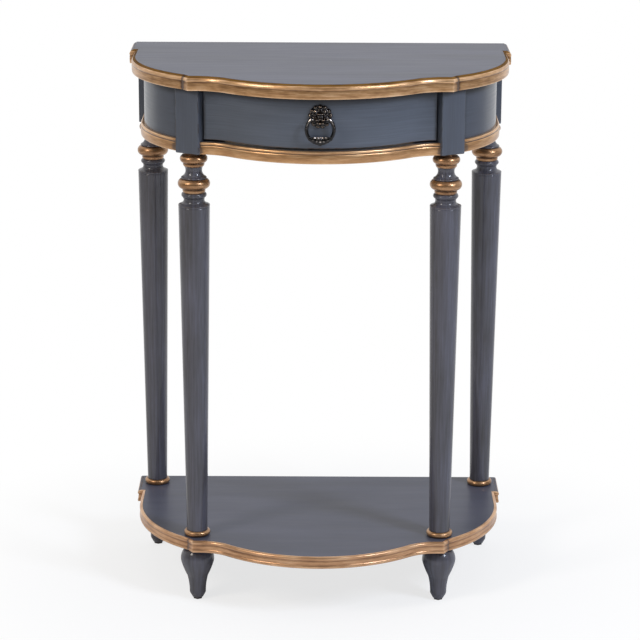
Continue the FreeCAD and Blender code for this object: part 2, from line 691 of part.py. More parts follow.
def boss(radius, back, front, place):
    """A domed boss of the mask, from one depth out to another."""
    crown = radius * BOSS_CROWN
    section = Section(0, back).line(radius, back).line(radius, (back + front) / 2)
    section.line(crown, front).line(0, front)
    return facing_front(section.turned(Vec(0, 0, 0), CASTING_FLAT_COUNT), place)


def pull_mask():
    """Cast mask: lobed mane plate, domed face, brows, muzzle and the jaw that holds the ring."""
    mask = mane_plate().fuse(boss(FACE_RADIUS, 0, FACE_DEPTH, PULL_CENTRE))
    mask = mask.fuse(boss(MUZZLE_RADIUS, 0, MUZZLE_DEPTH, PULL_CENTRE - UP * MUZZLE_DROP))
    for side in (LEFT, RIGHT):
        brow = PULL_CENTRE + Vec(side * BROW_SPREAD, 0, BROW_RISE)
        mask = mask.fuse(boss(BROW_RADIUS, 0, BROW_DEPTH, brow))
    jaw = box(-JAW_HALF_WIDTH, JAW_HALF_WIDTH, -JAW_RADIUS, PIVOT_DEPTH, -JAW_RADIUS, JAW_RADIUS)
    mask = mask.fuse(jaw.translated(PIVOT)).removeSplitter()
    for side in (LEFT, RIGHT):
        inner = PIVOT + Vec(side * (JAW_HALF_WIDTH - PIVOT_GRIP - PIVOT_GAP), 0, 0)
        mask = mask.cut(rod(PIVOT_RADIUS + PIVOT_GAP, inner, Vec(side, 0, 0), FACE_RADIUS))
    behind = slab(outline(APRON_INSET - GLUE_LINE), DRAWER_FLOOR, DRAWER_TOP)
    return mask.cut(behind).cut(pull_bolt(GLUE_LINE))


def pull_ring():
    """Cast ring: a bar open at the top that swells inward to a pointed crescent, and its two pivot pins."""
    radius = RING_WIDTH / 2
    centre = PIVOT - UP * RING_DROP
    half = math.sqrt(radius**2 - RING_DROP**2)
    opening = math.asin(half / radius)
    rings = []
    for step in range(RING_STEPS + 1):
        angle = opening + (2 * math.pi - 2 * opening) * step / RING_STEPS
        outward = Vec(math.sin(angle), 0, math.cos(angle))
        from_bottom = abs(math.degrees(angle) - 180) / RING_SWELL_HALF_ANGLE
        swell = RING_SWELL * max(0, 1 - from_bottom**2)
        middle = centre + outward * (radius - swell)
        if step * 2 == RING_STEPS:
            middle += outward * RING_POINT
        ring = []
        for index in range(CASTING_FLAT_COUNT):
            turn = 2 * math.pi * index / CASTING_FLAT_COUNT
            across = outward * math.cos(turn) * (RING_BAR_RADIUS + swell)
            ring.append(middle + across + Vec(0, math.sin(turn) * RING_BAR_RADIUS, 0))
        rings.append(ring)
    ring = skin(rings)
    inner = JAW_HALF_WIDTH - PIVOT_GRIP
    for side in (LEFT, RIGHT):
        ring = ring.fuse(rod(PIVOT_RADIUS, PIVOT + Vec(side * inner, 0, 0), Vec(side, 0, 0), half - inner))
    return ring.removeSplitter()


def runner():
    """Right drawer runner between the front and back rails."""
    return box(GUIDE_OUTER_X - RUNNER_WIDTH, GUIDE_OUTER_X, RAIL_BACK_Y + GLUE_LINE, BACK_RAIL_Y - GLUE_LINE,
               RUNNER_TOP - RUNNER_HEIGHT, RUNNER_TOP)


def guide():
    """Right guide strip, glued on the runner beside the drawer."""
    low = RUNNER_TOP + GLUE_LINE
    return box(GUIDE_OUTER_X - GUIDE_WIDTH, GUIDE_OUTER_X, RAIL_BACK_Y + GLUE_LINE, BACK_RAIL_Y - GLUE_LINE,
               low, low + GUIDE_HEIGHT)


def kicker():
    """Right kicker under the top, which keeps the open drawer from tipping."""
    return box(DRAWER_HALF_WIDTH - KICKER_WIDTH, DRAWER_HALF_WIDTH, RAIL_BACK_Y, BACK_RAIL_Y - GLUE_LINE,
               DRAWER_SIDE_TOP + GUIDE_GAP, TOP_UNDERSIDE)


def drawer_stop():
    """Right stop block, glued on the runner against the back rail."""
    low = RUNNER_TOP + GLUE_LINE
    return box(DRAWER_HALF_WIDTH - STOP_WIDTH, DRAWER_HALF_WIDTH, DRAWER_BACK_Y + STOP_GAP,
               BACK_RAIL_Y - GLUE_LINE, low, low + STOP_HEIGHT)


def side_cleat():
    """Right cleat inside the straight part of the apron, for screwing down the top."""
    return box(APRON_INNER_X - CLEAT_SIDE, APRON_INNER_X - GLUE_LINE, SIDE_ARC_Y + CLEAT_MARGIN,
               REAR_BLOCK_FRONT - CLEAT_MARGIN, TOP_UNDERSIDE - CLEAT_SIDE, TOP_UNDERSIDE)


def back_cleat():
    """Cleat along the inside of the back rail."""
    return box(-BACK_CLEAT_HALF, BACK_CLEAT_HALF, BACK_RAIL_Y - CLEAT_SIDE, BACK_RAIL_Y - GLUE_LINE,
               TOP_UNDERSIDE - CLEAT_SIDE, TOP_UNDERSIDE)


def back_rail():
    """Straight rail between the rear blocks."""
    half = REAR_BLOCK_INNER - GLUE_LINE
    return box(-half, half, BACK_RAIL_Y, BACK_RAIL_Y + BACK_RAIL_THICKNESS, BLOCK_BOTTOM, TOP_UNDERSIDE)


def drilled(shape, cutters):
    """A shape with every hole that reaches it."""
    near = [cutter for cutter in cutters if shape.BoundBox.intersect(cutter.BoundBox)]
    return shape.cut(near) if near else shape


def save(name, shape):
    """Writes one node."""
    if isinstance(shape, list):
        shape = Part.makeCompound(shape)
    shape.exportStep("parts/" + name + ".step")


def save_pair(name, shape):
    """Writes a right-hand piece and its mirror image."""
    save("left_" + name, mirrored(shape, LEFT))
    save("right_" + name, shape)


def main():
    """Builds every piece of the table and writes it."""
    os.makedirs("parts", exist_ok=True)
    mortises = apron_tenons(TENON_GAP) + rail_tenons(TENON_GAP)
    stud_holes = studs(STUD_HOLE_GAP)
    screw_holes = screws(SCREW_GAP)
    nail_holes = glides(SCREW_GAP)

    save("top_panel", drilled(slab(outline(TOP_MOULDING_WIDTH), TOP_UNDERSIDE, TABLE_HEIGHT), screw_holes))
    save_pair("top_moulding", side_moulding(top_section()))
    save("front_top_moulding", front_moulding(top_section()))
    shelf = slab(outline(SHELF_INSET + SHELF_MOULDING_WIDTH), SHELF_UNDERSIDE, SHELF_HEIGHT)
    save("shelf_panel", drilled(shelf, stud_holes))
    save_pair("shelf_moulding", side_moulding(shelf_section()))
    save("front_shelf_moulding", front_moulding(shelf_section()))

    for name, axis, turn in leg_axes():
        leg = leg_section().turned(axis).fuse(block(axis, turn)).removeSplitter()
        save(name + "_leg", drilled(leg, mortises + stud_holes))
        save(name + "_foot", drilled(foot_section().turned(axis), stud_holes + nail_holes))
    save("leg_studs", studs(0))
    save("foot_glides", glides(0))

    save_pair("side_apron", drilled(behind_front_block(side_band()), mortises))
    save_pair("side_base_moulding", side_base_moulding())
    save("front_base_moulding", front_base_moulding())
    save("front_rail", drilled(front_rail(), mortises))
    save("back_rail", drilled(back_rail(), mortises))
    save("apron_tenons", apron_tenons(0))
    save("rail_tenons", rail_tenons(0))

    save_pair("runner", runner())
    save_pair("guide", guide())
    save_pair("kicker", drilled(kicker(), screw_holes))
    save_pair("drawer_stop", drawer_stop())
    save_pair("cleat", drilled(side_cleat(), screw_holes))
    save("back_cleat", drilled(back_cleat(), screw_holes))
    save("top_screws", screws(0))

    save("drawer_front", drawer_front())
    save_pair("drawer_side", drawer_side())
    save("drawer_back", drawer_back())
    save("drawer_bottom", bottom_groove(0))
    save("pull_mask", pull_mask())
    save("pull_bolt", pull_bolt(0))
    save("pull_ring", pull_ring())


main()
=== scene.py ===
"""Painted and gilt half-round console table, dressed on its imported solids.

Lengths are in millimetres, apart from the lamps, and turn into metres where a mesh is made.
"""

import json
import logging
import math
from dataclasses import dataclass, replace
from enum import Enum
from functools import partial
from typing import Any, ClassVar, Optional, Sequence, Union

import bmesh
import bpy
import numpy as np
from mathutils import Matrix, Vector


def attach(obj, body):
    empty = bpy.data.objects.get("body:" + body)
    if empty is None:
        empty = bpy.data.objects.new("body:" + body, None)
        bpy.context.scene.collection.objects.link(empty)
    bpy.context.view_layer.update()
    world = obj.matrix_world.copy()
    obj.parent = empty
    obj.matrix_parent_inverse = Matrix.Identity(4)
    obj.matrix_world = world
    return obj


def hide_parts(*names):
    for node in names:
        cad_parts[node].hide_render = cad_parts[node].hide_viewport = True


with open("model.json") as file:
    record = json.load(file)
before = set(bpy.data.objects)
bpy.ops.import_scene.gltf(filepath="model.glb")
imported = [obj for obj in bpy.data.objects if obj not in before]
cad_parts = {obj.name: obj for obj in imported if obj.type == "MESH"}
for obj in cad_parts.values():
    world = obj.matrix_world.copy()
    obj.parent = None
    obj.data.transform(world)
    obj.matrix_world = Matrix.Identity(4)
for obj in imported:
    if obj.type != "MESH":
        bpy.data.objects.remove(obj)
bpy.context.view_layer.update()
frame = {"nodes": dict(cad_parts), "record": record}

Array = np.ndarray
Pair = tuple[float, float]
Triple = tuple[float, float, float]
MM = 0.001
MIRROR = np.array([-1.0, 1.0])
LOG = logging.getLogger("table")


class Body(Enum):
    """Bodies of the frame that a piece can ride on."""

    TABLE = "table"
    DRAWER = "drawer"
    RING = "pull_ring"


class Slot(Enum):
    """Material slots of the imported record."""

    PAINT = "blue_painted_wood"
    GILT = "gilt_wood"
    BARE = "bare_wood"
    PLY = "plywood"
    BRONZE = "antique_bronze"
    STEEL = "zinc_steel"
    NYLON = "nylon"


class Hand(Enum):
    """Side of the table, as the sign of X."""

    LEFT = -1
    RIGHT = 1


class Coat(Enum):
    """Which of a piece's finishes a stretch of its section takes."""

    FIRST = 0
    SECOND = 1
    THIRD = 2


# Sections and surfaces

# Extra points of a stretch: their distances from both ends, kept within a share of its length.
END_STEPS = (0.5, 1.4, 3.0)
END_SHARE = 0.45
# Chords in a softened corner and segments of a turning.
CORNER_CHORDS = 5
TURN_SEGMENTS = 72


def near_ends(length: float) -> Array:
    """Distances from the ends of a stretch at which it gets extra points, for wear to fade over."""
    return np.array([step for step in END_STEPS if step < length * END_SHARE])


def corner_cut(radius: float) -> float:
    """How far the middle of a quarter round lies inside both sides of its corner."""
    return radius * (1 - math.sqrt(0.5))


def circle(angle: Array) -> Array:
    """Points of the unit circle at the given angles: cosine and sine."""
    return np.stack([np.cos(angle), np.sin(angle)], axis=-1)


def raised(plan: Array, up: Array) -> Array:
    """Plan points, rows by columns by two, with heights that spread over them as third coordinate."""
    return np.concatenate([plan, np.broadcast_to(up, plan.shape[:2])[..., None]], axis=-1)


def arc_points(start: Sequence[float], middle: Sequence[float], end: Sequence[float], count: int) -> Array:
    """Points on the circle through three points, without the first one.

    The centre is as far from the first point as from the other two, found as two linear equations.

    Args:
        start: First point.
        middle: A point on the arc.
        end: Last point.
        count: How many chords the arc gets.

    Returns:
        The points, one row each.
    """
    a, b, c = (np.asarray(point, float) for point in (start, middle, end))
    sides = 2 * np.array([b - a, c - a])
    centre = np.linalg.solve(sides, np.array([b @ b - a @ a, c @ c - a @ a]))
    rays = np.array([a, b, c]) - centre
    angles = np.arctan2(rays[:, 1], rays[:, 0])
    to_middle, to_end = (angles[1:] - angles[0]) % (2 * math.pi)
    swing = to_end if to_middle < to_end else to_end - 2 * math.pi
    turned = angles[0] + swing * np.linspace(0, 1, count + 1)[1:]
    return centre + np.linalg.norm(a - centre) * circle(turned)


@dataclass
class Section:
    """A drawn section.

    Attributes:
        points: Points of the section, across and up.
        coats: Finish of the stretch after each point but the last.
        closed: Whether the last point is the first one again.
    """

    # How far to both sides a point is compared, and the least chord to divide by.
    REACH: ClassVar[float] = 1.6
    LEAST_CHORD: ClassVar[float] = 1e-6
    points: Array
    coats: Array
    closed: bool

    def lengths(self) -> Array:
        """Length along the section at each point."""
        steps = np.linalg.norm(np.diff(self.points, axis=0), axis=1)
        return np.concatenate([[0.0], np.cumsum(steps)])

    def at(self, place: Array) -> Array:
        """Points at lengths along the section, which goes on round if closed and stops at its ends if not.

        Args:
            place: Lengths along the section.

        Returns:
            One point for each length.
        """
        along = self.lengths()
        place = place % along[-1] if self.closed else np.clip(place, 0, along[-1])
        return np.stack([np.interp(place, along, line) for line in self.points.T], axis=1)

    def exposure(self) -> Array:
        """How far each point stands out of its surroundings: 1 on an arris, 0 on a flat, -1 in a hollow.

        A point is compared with the middle of the chord between the points a reach before and behind it,
        measured towards the inside of the section and divided by the reach.

        Returns:
            One value for each point.
        """
        along = self.lengths()
        ahead, behind = self.at(along + self.REACH), self.at(along - self.REACH)
        chord = ahead - behind
        x, y = self.points.T
        area = np.sum(x * np.roll(y, -1) - np.roll(x, -1) * y)
        inward = np.sign(area) * np.stack([-chord[:, 1], chord[:, 0]], axis=1)
        inward /= np.maximum(np.linalg.norm(chord, axis=1, keepdims=True), self.LEAST_CHORD)
        return np.sum(((ahead + behind) / 2 - self.points) * inward, axis=1) / self.REACH


class Pen:
    """Draws a section as straight and round stretches."""

    def __init__(self, across: float, up: float) -> None:
        """Starts at a point."""
        self.points: list[Array] = [np.array([[across, up]], float)]
        self.coats: list[int] = []

    def line(self, across: float, up: float, coat: Coat = Coat.FIRST) -> "Pen":
        """Adds a straight stretch, with extra points near both ends.

        Args:
            across: First coordinate of its end.
            up: Second coordinate of its end.
            coat: Finish of the stretch.

        Returns:
            The pen.
        """
        start, end = self.points[-1][-1], np.array([across, up], float)
        length = np.linalg.norm(end - start)
        near = near_ends(length)
        places = np.concatenate([near, length - near[::-1], [length]]) / length
        return self._add(start + (end - start) * places[:, None], coat)

    def arc(self, middle: Pair, end: Pair, coat: Coat = Coat.FIRST, count: int = 12) -> "Pen":
        """Adds a round stretch of some chords through a middle point."""
        return self._add(arc_points(self.points[-1][-1], middle, end, count), coat)

    def _add(self, points: Array, coat: Coat) -> "Pen":
        """Keeps a stretch.

        Args:
            points: Its points without the first.
            coat: Its finish.

        Returns:
            The pen.
        """
        self.points.append(points)
        self.coats += [coat.value] * len(points)
        return self

    def section(self, closed: bool = True) -> Section:
        """Ends the drawing.

        Args:
            closed: Whether a straight stretch leads back to the first point.

        Returns:
            The section.
        """
        if closed:
            self.line(*self.points[0][0])
        return Section(np.concatenate(self.points), np.array(self.coats), closed)


def rounded_rectangle(across: Pair, up: Pair, radius: float) -> Section:
    """A rectangle with softened corners.

    Args:
        across: Least and greatest first coordinate.
        up: Least and greatest second coordinate.
        radius: Radius of the corners.

    Returns:
        The closed section.
    """
    (a, b), (c, d) = across, up
    cut = corner_cut(radius)
    chords = CORNER_CHORDS
    pen = Pen(a, c + radius).line(a, d - radius)
    pen.arc((a + cut, d - cut), (a + radius, d), count=chords).line(b - radius, d)
    pen.arc((b - cut, d - cut), (b, d - radius), count=chords).line(b, c + radius)
    pen.arc((b - cut, c + cut), (b - radius, c), count=chords).line(a + radius, c)
    pen.arc((a + cut, c + cut), (a, c + radius), count=chords)
    return replace(pen.section(closed=False), closed=True)


class Surface:
    """Gathers grids of points and turns them into one mesh object."""

    # Points closer than the first are merged, edges shorter than the second are dissolved.
    MERGED_WITHIN: ClassVar[float] = 0.004
    SLIVER_UNDER: ClassVar[float] = 0.002

    def __init__(self) -> None:
        """Starts empty."""
        self.points: list[Array] = []
        self.grain: list[Array] = []
        self.exposure: list[Array] = []
        self.faces: list[list[int]] = []
        self.coats: list[int] = []

    def _keep(self, points: Array, grain: Array, exposure: Array) -> int:
        """Stores points with their values.

        Args:
            points: The points, with three coordinates last.
            grain: Coordinates along and across the grain.
            exposure: Exposure of each point.

        Returns:
            The number of the first point.
        """
        first = sum(len(block) for block in self.points)
        self.points.append(points.reshape(-1, 3))
        self.grain.append(np.broadcast_to(grain, points.shape).reshape(-1, 3))
        self.exposure.append(np.broadcast_to(exposure, points.shape[:-1]).reshape(-1))
        return first

    def grid(self, points: Array, grain: Array, exposure: Array, coats: Optional[Array] = None) -> None:
        """Adds a grid of quads.

        Args:
            points: Rows by columns by three.
            grain: Coordinates along and across the grain, of the same shape.
            exposure: Exposure of each point, or something that spreads over the grid.
            coats: Finish of each column of quads.
        """
        rows, columns = points.shape[:2]
        first = self._keep(points, grain, exposure)
        index = first + np.arange(rows * columns).reshape(rows, columns)
        quads = np.stack([index[:-1, :-1], index[1:, :-1], index[1:, 1:], index[:-1, 1:]], axis=-1)
        chosen = np.zeros(columns - 1, int) if coats is None else coats
        self.faces += quads.reshape(-1, 4).tolist()
        self.coats += np.broadcast_to(chosen, quads.shape[:2]).reshape(-1).tolist()

    def cap(self, loop: Array, grain: Array, coat: Coat = Coat.FIRST) -> None:
        """Adds one flat face with many corners.

        Args:
            loop: Its corners in order.
            grain: Coordinates along and across the grain.
            coat: Its finish.
        """
        first = self._keep(loop, grain, np.zeros(len(loop)))
        self.faces.append(list(range(first, first + len(loop))))
        self.coats.append(coat.value)

    def ends(self, points: Array, grain: Array, coats: Sequence[Coat] = (Coat.FIRST, Coat.FIRST)) -> None:
        """Closes the first and the last row of a grid whose rows go round, each with a flat face."""
        for row, coat in zip((0, -1), coats):
            self.cap(points[row, :-1], grain[row, :-1], coat)

    def build(self, name: str, finishes: Sequence[bpy.types.Material],
              sharp: float = 34.0) -> bpy.types.Object:
        """Makes the object: doubles merged, faces turned outward, shaded smooth up to an angle.

        Args:
            name: Name of the piece.
            finishes: Material of each coat.
            sharp: Angle in degrees from which an edge stays sharp.

        Returns:
            The new object, linked to the scene.
        """
        mesh = bpy.data.meshes.new(name)
        mesh.from_pydata((np.concatenate(self.points) * MM).tolist(), [], self.faces)
        mesh.polygons.foreach_set("material_index", np.array(self.coats, np.int32))
        grain = mesh.attributes.new("grain", "FLOAT_VECTOR", "POINT")
        grain.data.foreach_set("vector", np.concatenate(self.grain).astype(np.float32).ravel())
        exposure = mesh.attributes.new("exposure", "FLOAT", "POINT")
        exposure.data.foreach_set("value", np.concatenate(self.exposure).astype(np.float32))
        edit = bmesh.new()
        edit.from_mesh(mesh)
        bmesh.ops.remove_doubles(edit, verts=edit.verts, dist=self.MERGED_WITHIN * MM)
        bmesh.ops.dissolve_degenerate(edit, edges=edit.edges, dist=self.SLIVER_UNDER * MM)
        bmesh.ops.recalc_face_normals(edit, faces=edit.faces)
        edit.to_mesh(mesh)
        edit.free()
        mesh.polygons.foreach_set("use_smooth", np.ones(len(mesh.polygons), bool))
        mesh.set_sharp_from_angle(angle=math.radians(sharp))
        for finish in finishes:
            mesh.materials.append(finish)
        piece = bpy.data.objects.new(name, mesh)
        bpy.context.scene.collection.objects.link(piece)
        return piece


# Plan of the table


@dataclass(frozen=True)
class Stretch:
    """A straight or round stretch of the plan, for several insets at once.

    Attributes:
        start: First point at each inset.
        end: Last point at each inset.
        centre: Centre of a round stretch.
        count: How many steps it is divided into.
        begins: Exposure of the corner where it begins.
        ends: Exposure of the corner where it ends.
        fade: How far from a corner its exposure dies away.
    """

    start: Array
    end: Array
    centre: Optional[Array] = None
    count: int = 1
    begins: float = 0.0
    ends: float = 0.0
    fade: float = 1.6

    @property
    def length(self) -> float:
        """Length of the chord, as the mean over the insets."""
        return np.linalg.norm(self.end - self.start, axis=-1).mean()

    def places(self) -> Array:
        """Shares of the stretch at which it has a step: even ones, and some close to both ends."""
        near = near_ends(self.length) / self.length
        return np.unique(np.concatenate([np.linspace(0, 1, self.count + 1), near, 1 - near]))

    def corner_exposure(self) -> Array:
        """Exposure that its two corners add to each step, dying away over the fade."""
        steps = self.places() * self.length / self.fade
        return self.begins * np.exp(-steps) + self.ends * np.exp(steps - self.length / self.fade)

    def points(self) -> Array:
        """Points at shares of the chord, or of the angle about the centre.

        Returns:
            Steps by insets by two.
        """
        place = self.places()[:, None]
        if self.centre is None:
            return self.start + place[..., None] * (self.end - self.start)
        rays = np.stack([self.start, self.end]) - self.centre
        angles = np.arctan2(rays[..., 1], rays[..., 0])
        swing = (angles[1] - angles[0] + math.pi) % (2 * math.pi) - math.pi
        radius = np.linalg.norm(rays[0], axis=-1)
        return self.centre + radius[:, None] * circle(angles[0] + place * swing)


def crossing(base: Array, along: Array, centre: Array, radius: Array, far: bool) -> Array:
    """Where a line meets circles about one centre.

    Args:
        base: Points on the line, one for each circle or one for all.
        along: Unit direction of the line.
        centre: Centre of the circles.
        radius: Radius of each circle.
        far: Whether the crossing further along the line is wanted.

    Returns:
        One point for each circle.
    """
    reach = base - centre
    half = reach @ along
    root = np.sqrt(half**2 - np.sum(reach * reach, axis=-1) + radius**2)
    return base + ((root if far else -root) - half)[:, None] * along


@dataclass(frozen=True)
class Plan:
    """Outline that the top, the shelf, the aprons and the drawer front follow, levels and leg places."""

    # Exposure at outer corners, at inner ones, where two pieces shade each other, which darkens as painted
    # shade, and in a narrow joint, which darkens as glaze and painted shade.
    OUT: ClassVar[float] = 0.5
    HOLLOW: ClassVar[float] = -0.5
    SHADE: ClassVar[float] = -1.2
    GLAZE_AND_SHADE: ClassVar[float] = -0.45
    GLAZE_FADE: ClassVar[float] = 4.0
    APRON_FADE: ClassVar[float] = 6.0
    SIDE_STEPS: ClassVar[int] = 44
    RETURN_STEPS: ClassVar[int] = 6
    COVE_STEPS: ClassVar[int] = 20
    BOW_STEPS: ClassVar[int] = 64
    # Outline: whole size, ear, side, then the front-leg corner with its flat, return and cove.
    half_width: float = 301.0
    half_depth: float = 187.0
    ear_depth: float = 76.0
    ear_step: float = 7.5
    side_straight: float = 51.0
    station_inset: float = 102.0
    station_setback: float = 66.0
    station_flat: float = 13.0
    return_run: float = 8.0
    return_rise: float = 13.0
    cove_radius: float = 68.0
    # Legs and their blocks.
    rear_leg_inset: float = 32.0
    rear_leg_from_back: float = 30.5
    front_leg_inset: float = 8.0
    front_leg_setback: float = 36.5
    block_side: float = 40.0
    block_turn: float = 27.0
    # Aprons and drawer front, and the joint between fixed pieces.
    board_inset: float = 19.0
    board: float = 18.0
    joint: float = 0.1
    # Levels.
    top: float = 845.0
    top_underside: float = 823.0
    base_top: float = 743.0
    apron_bottom: float = 724.0
    shelf: float = 108.0
    shelf_underside: float = 89.0

    @property
    def side_x(self) -> float:
        """Where the straight side lies."""
        return self.half_width - self.ear_step

    @property
    def ear_front(self) -> float:
        """Where the ear ends."""
        return self.half_depth - self.ear_depth

    @property
    def side_arc_y(self) -> float:
        """Where the round side begins."""
        return self.ear_front - self.side_straight

    @property
    def drawer_face_y(self) -> float:
        """Front of the drawer at its middle."""
        return self.board_inset - self.half_depth

    @property
    def station(self) -> Array:
        """Corner of the outline at the right front leg."""
        return np.array([self.half_width - self.station_inset, self.station_setback - self.half_depth])

    @property
    def return_foot(self) -> Array:
        """Where the round side meets the short return."""
        return self.station + np.array([self.return_run, self.return_rise])

    @property
    def side_centre(self) -> Array:
        """Centre of the round side, on the level of the arc's start."""
        run, rise = self.side_x - self.return_foot[0], self.side_arc_y - self.return_foot[1]
        return np.array([self.side_x - (run**2 + rise**2) / (2 * run), self.side_arc_y])

    @property
    def cove_centre(self) -> Array:
        """Centre of the cove on the right."""
        return np.array([self.station[0] - self.station_flat, self.station[1] - self.cove_radius])

    @property
    def bow_radius(self) -> float:
        """Radius of the bow, which meets both coves without a kink."""
        back = self.station_setback
        return (self.cove_centre[0]**2 + back**2) / (2 * back) - self.cove_radius

    @property
    def bow_centre(self) -> Array:
        """Centre of the bow."""
        return np.array([0.0, self.bow_radius - self.half_depth])

    @property
    def front_leg(self) -> Array:
        """Axis of the right front leg."""
        return self.station + np.array([-self.front_leg_inset, self.front_leg_setback])

    @property
    def rear_leg(self) -> Array:
        """Axis of the right rear leg."""
        return np.array([self.half_width - self.rear_leg_inset, self.half_depth - self.rear_leg_from_back])

    @property
    def block_inward(self) -> Array:
        """Direction from the right front block to the drawer."""
        turn = math.radians(self.block_turn)
        return np.array([-math.cos(turn), -math.sin(turn)])

    @property
    def block_outward(self) -> Array:
        """Direction that the right front block faces."""
        turn = math.radians(self.block_turn)
        return np.array([math.sin(turn), -math.cos(turn)])

    def side_radius(self, inset: Array) -> Array:
        """Radius of the round side at each inset."""
        return self.side_x - self.side_centre[0] - inset

    @staticmethod
    def columns(inset: Array, x: Any, y: Any) -> Array:
        """Points with the given coordinates, one for each inset."""
        return np.stack(np.broadcast_arrays(x + 0 * inset, y + 0 * inset), axis=-1)

    def corners(self, inset: Array) -> dict[str, Array]:
        """Corners of the right half of the outline, moved in except at the back.

        The foot of the return is where its line meets the round side, the station where it meets the flat,
        and the turn lies on the line of centres of bow and cove.

        Args:
            inset: How far the outline is moved in, for each of several lines.

        Returns:
            By name, one point for each inset.
        """
        inset = np.asarray(inset, float)
        point = partial(self.columns, inset)
        along = (self.return_foot - self.station) / np.linalg.norm(self.return_foot - self.station)
        base = self.station + inset[:, None] * np.array([-along[1], along[0]])
        slide = (self.station[1] + inset - base[:, 1]) / along[1]
        centres = self.cove_centre - self.bow_centre
        to_cove = centres / np.linalg.norm(centres)
        return {
            "back": point(self.half_width - inset, self.half_depth),
            "ear": point(self.half_width - inset, self.ear_front + inset),
            "step": point(self.side_x - inset, self.ear_front + inset),
            "bend": point(self.side_x - inset, self.side_arc_y),
            "foot": crossing(base, along, self.side_centre, self.side_radius(inset), far=False),
            "station": base + slide[:, None] * along,
            "flat": point(self.cove_centre[0], self.station[1] + inset),
            "turn": self.bow_centre + (self.bow_radius - inset)[:, None] * to_cove,
        }

    def side(self, inset: Array) -> list[Stretch]:
        """Right side from the back edge to the front-leg corner.

        Args:
            inset: How far the outline is moved in, for each of several lines.

        Returns:
            Ear, step, straight side, round side and return.
        """
        at = self.corners(inset)
        out, hollow = self.OUT, self.HOLLOW
        return [Stretch(at["back"], at["ear"], ends=out),
                Stretch(at["ear"], at["step"], begins=out, ends=hollow),
                Stretch(at["step"], at["bend"], begins=hollow),
                Stretch(at["bend"], at["foot"], self.side_centre, self.SIDE_STEPS, ends=hollow),
                Stretch(at["foot"], at["station"], count=self.RETURN_STEPS, begins=self.SHADE, ends=out,
                        fade=self.GLAZE_FADE)]

    def bow(self, inset: Array, ends: Optional[Array] = None) -> list[Stretch]:
        """Serpentine front from right to left.

        Args:
            inset: How far the outline is moved in, for each of several lines.
            ends: Points on the right cove where it begins in a narrow joint, instead of the whole cove.

        Returns:
            Cove, bow and cove.
        """
        at = self.corners(inset)
        start = at["flat"] if ends is None else ends
        shade = 0.0 if ends is None else self.GLAZE_AND_SHADE
        left_cove = self.cove_centre * MIRROR
        return [Stretch(start, at["turn"], self.cove_centre, self.COVE_STEPS, begins=shade,
                        fade=self.GLAZE_FADE),
                Stretch(at["turn"], at["turn"] * MIRROR, self.bow_centre, self.BOW_STEPS),
                Stretch(at["turn"] * MIRROR, start * MIRROR, left_cove, self.COVE_STEPS, ends=shade,
                        fade=self.GLAZE_FADE)]

    def front(self, inset: Array) -> list[Stretch]:
        """Whole front between the two front-leg corners.

        Args:
            inset: How far the outline is moved in, for each of several lines.

        Returns:
            The serpentine between two flats.
        """
        at = self.corners(inset)
        first = Stretch(at["station"], at["flat"], begins=self.OUT)
        last = Stretch(at["flat"] * MIRROR, at["station"] * MIRROR, ends=self.OUT)
        return [first] + self.bow(inset) + [last]

    def between_blocks(self, inset: Array, gap: float) -> list[Stretch]:
        """Front between the inner sides of the front blocks.

        Args:
            inset: How far the outline is moved in, for each of several lines.
            gap: Gap at each block.

        Returns:
            Cove, bow and cove.
        """
        base = self.front_leg + self.block_inward * (self.block_side / 2 + gap)
        radius = self.cove_radius + np.asarray(inset, float)
        return self.bow(inset, crossing(base, -self.block_outward, self.cove_centre, radius, far=True))

    def apron(self, inset: Array) -> list[Stretch]:
        """Right side from the rear block to the front block, with a joint at each.

        Args:
            inset: How far the outline is moved in, for each of several lines.

        Returns:
            Straight side and round side.
        """
        inset = np.asarray(inset, float)
        bend = self.corners(inset)["bend"]
        to_block = self.block_side / 2 + self.joint
        start = self.columns(inset, self.side_x - inset, self.rear_leg[1] - to_block)
        base = self.front_leg - self.block_inward * to_block
        end = crossing(base, self.block_outward, self.side_centre, self.side_radius(inset), far=True)
        return [Stretch(start, bend, begins=self.SHADE),
                Stretch(bend, end, self.side_centre, self.SIDE_STEPS, ends=self.SHADE,
                        fade=self.APRON_FADE)]


def sweep(surface: Surface, stretches: Sequence[Stretch], section: Section, hand: Hand,
          ear: bool = False) -> None:
    """Carries a closed section along a path of the plan.

    Row t, column k lies at step t of the path at the inset of section point k, at the height of that point.

    Args:
        surface: Where the grids go.
        stretches: Path at the inset of each section point.
        section: The section, inset and height.
        hand: LEFT mirrors the path.
        ear: Whether the first stretch is an ear, where the second finish takes the place of the third.
    """
    flip = np.array([hand.value, 1.0])
    across, up = section.points.T
    exposure = section.exposure()
    travelled = 0.0
    for number, stretch in enumerate(stretches):
        plan = stretch.points()
        steps = np.linalg.norm(np.diff(plan.mean(axis=1), axis=0), axis=1)
        run = travelled + np.concatenate([[0.0], np.cumsum(steps)])
        travelled = run[-1]
        points = raised(plan * flip, up)
        grain = np.stack(np.broadcast_arrays(run[:, None], across, up), axis=-1)
        coats = section.coats
        if ear and number == 0:
            coats = np.where(coats == Coat.THIRD.value, Coat.SECOND.value, coats)
        surface.grid(points, grain, exposure + stretch.corner_exposure()[:, None], coats)
        for row, wanted in ((0, number == 0), (-1, number == len(stretches) - 1)):
            if wanted:
                surface.cap(points[row, :-1], grain[row, :-1])


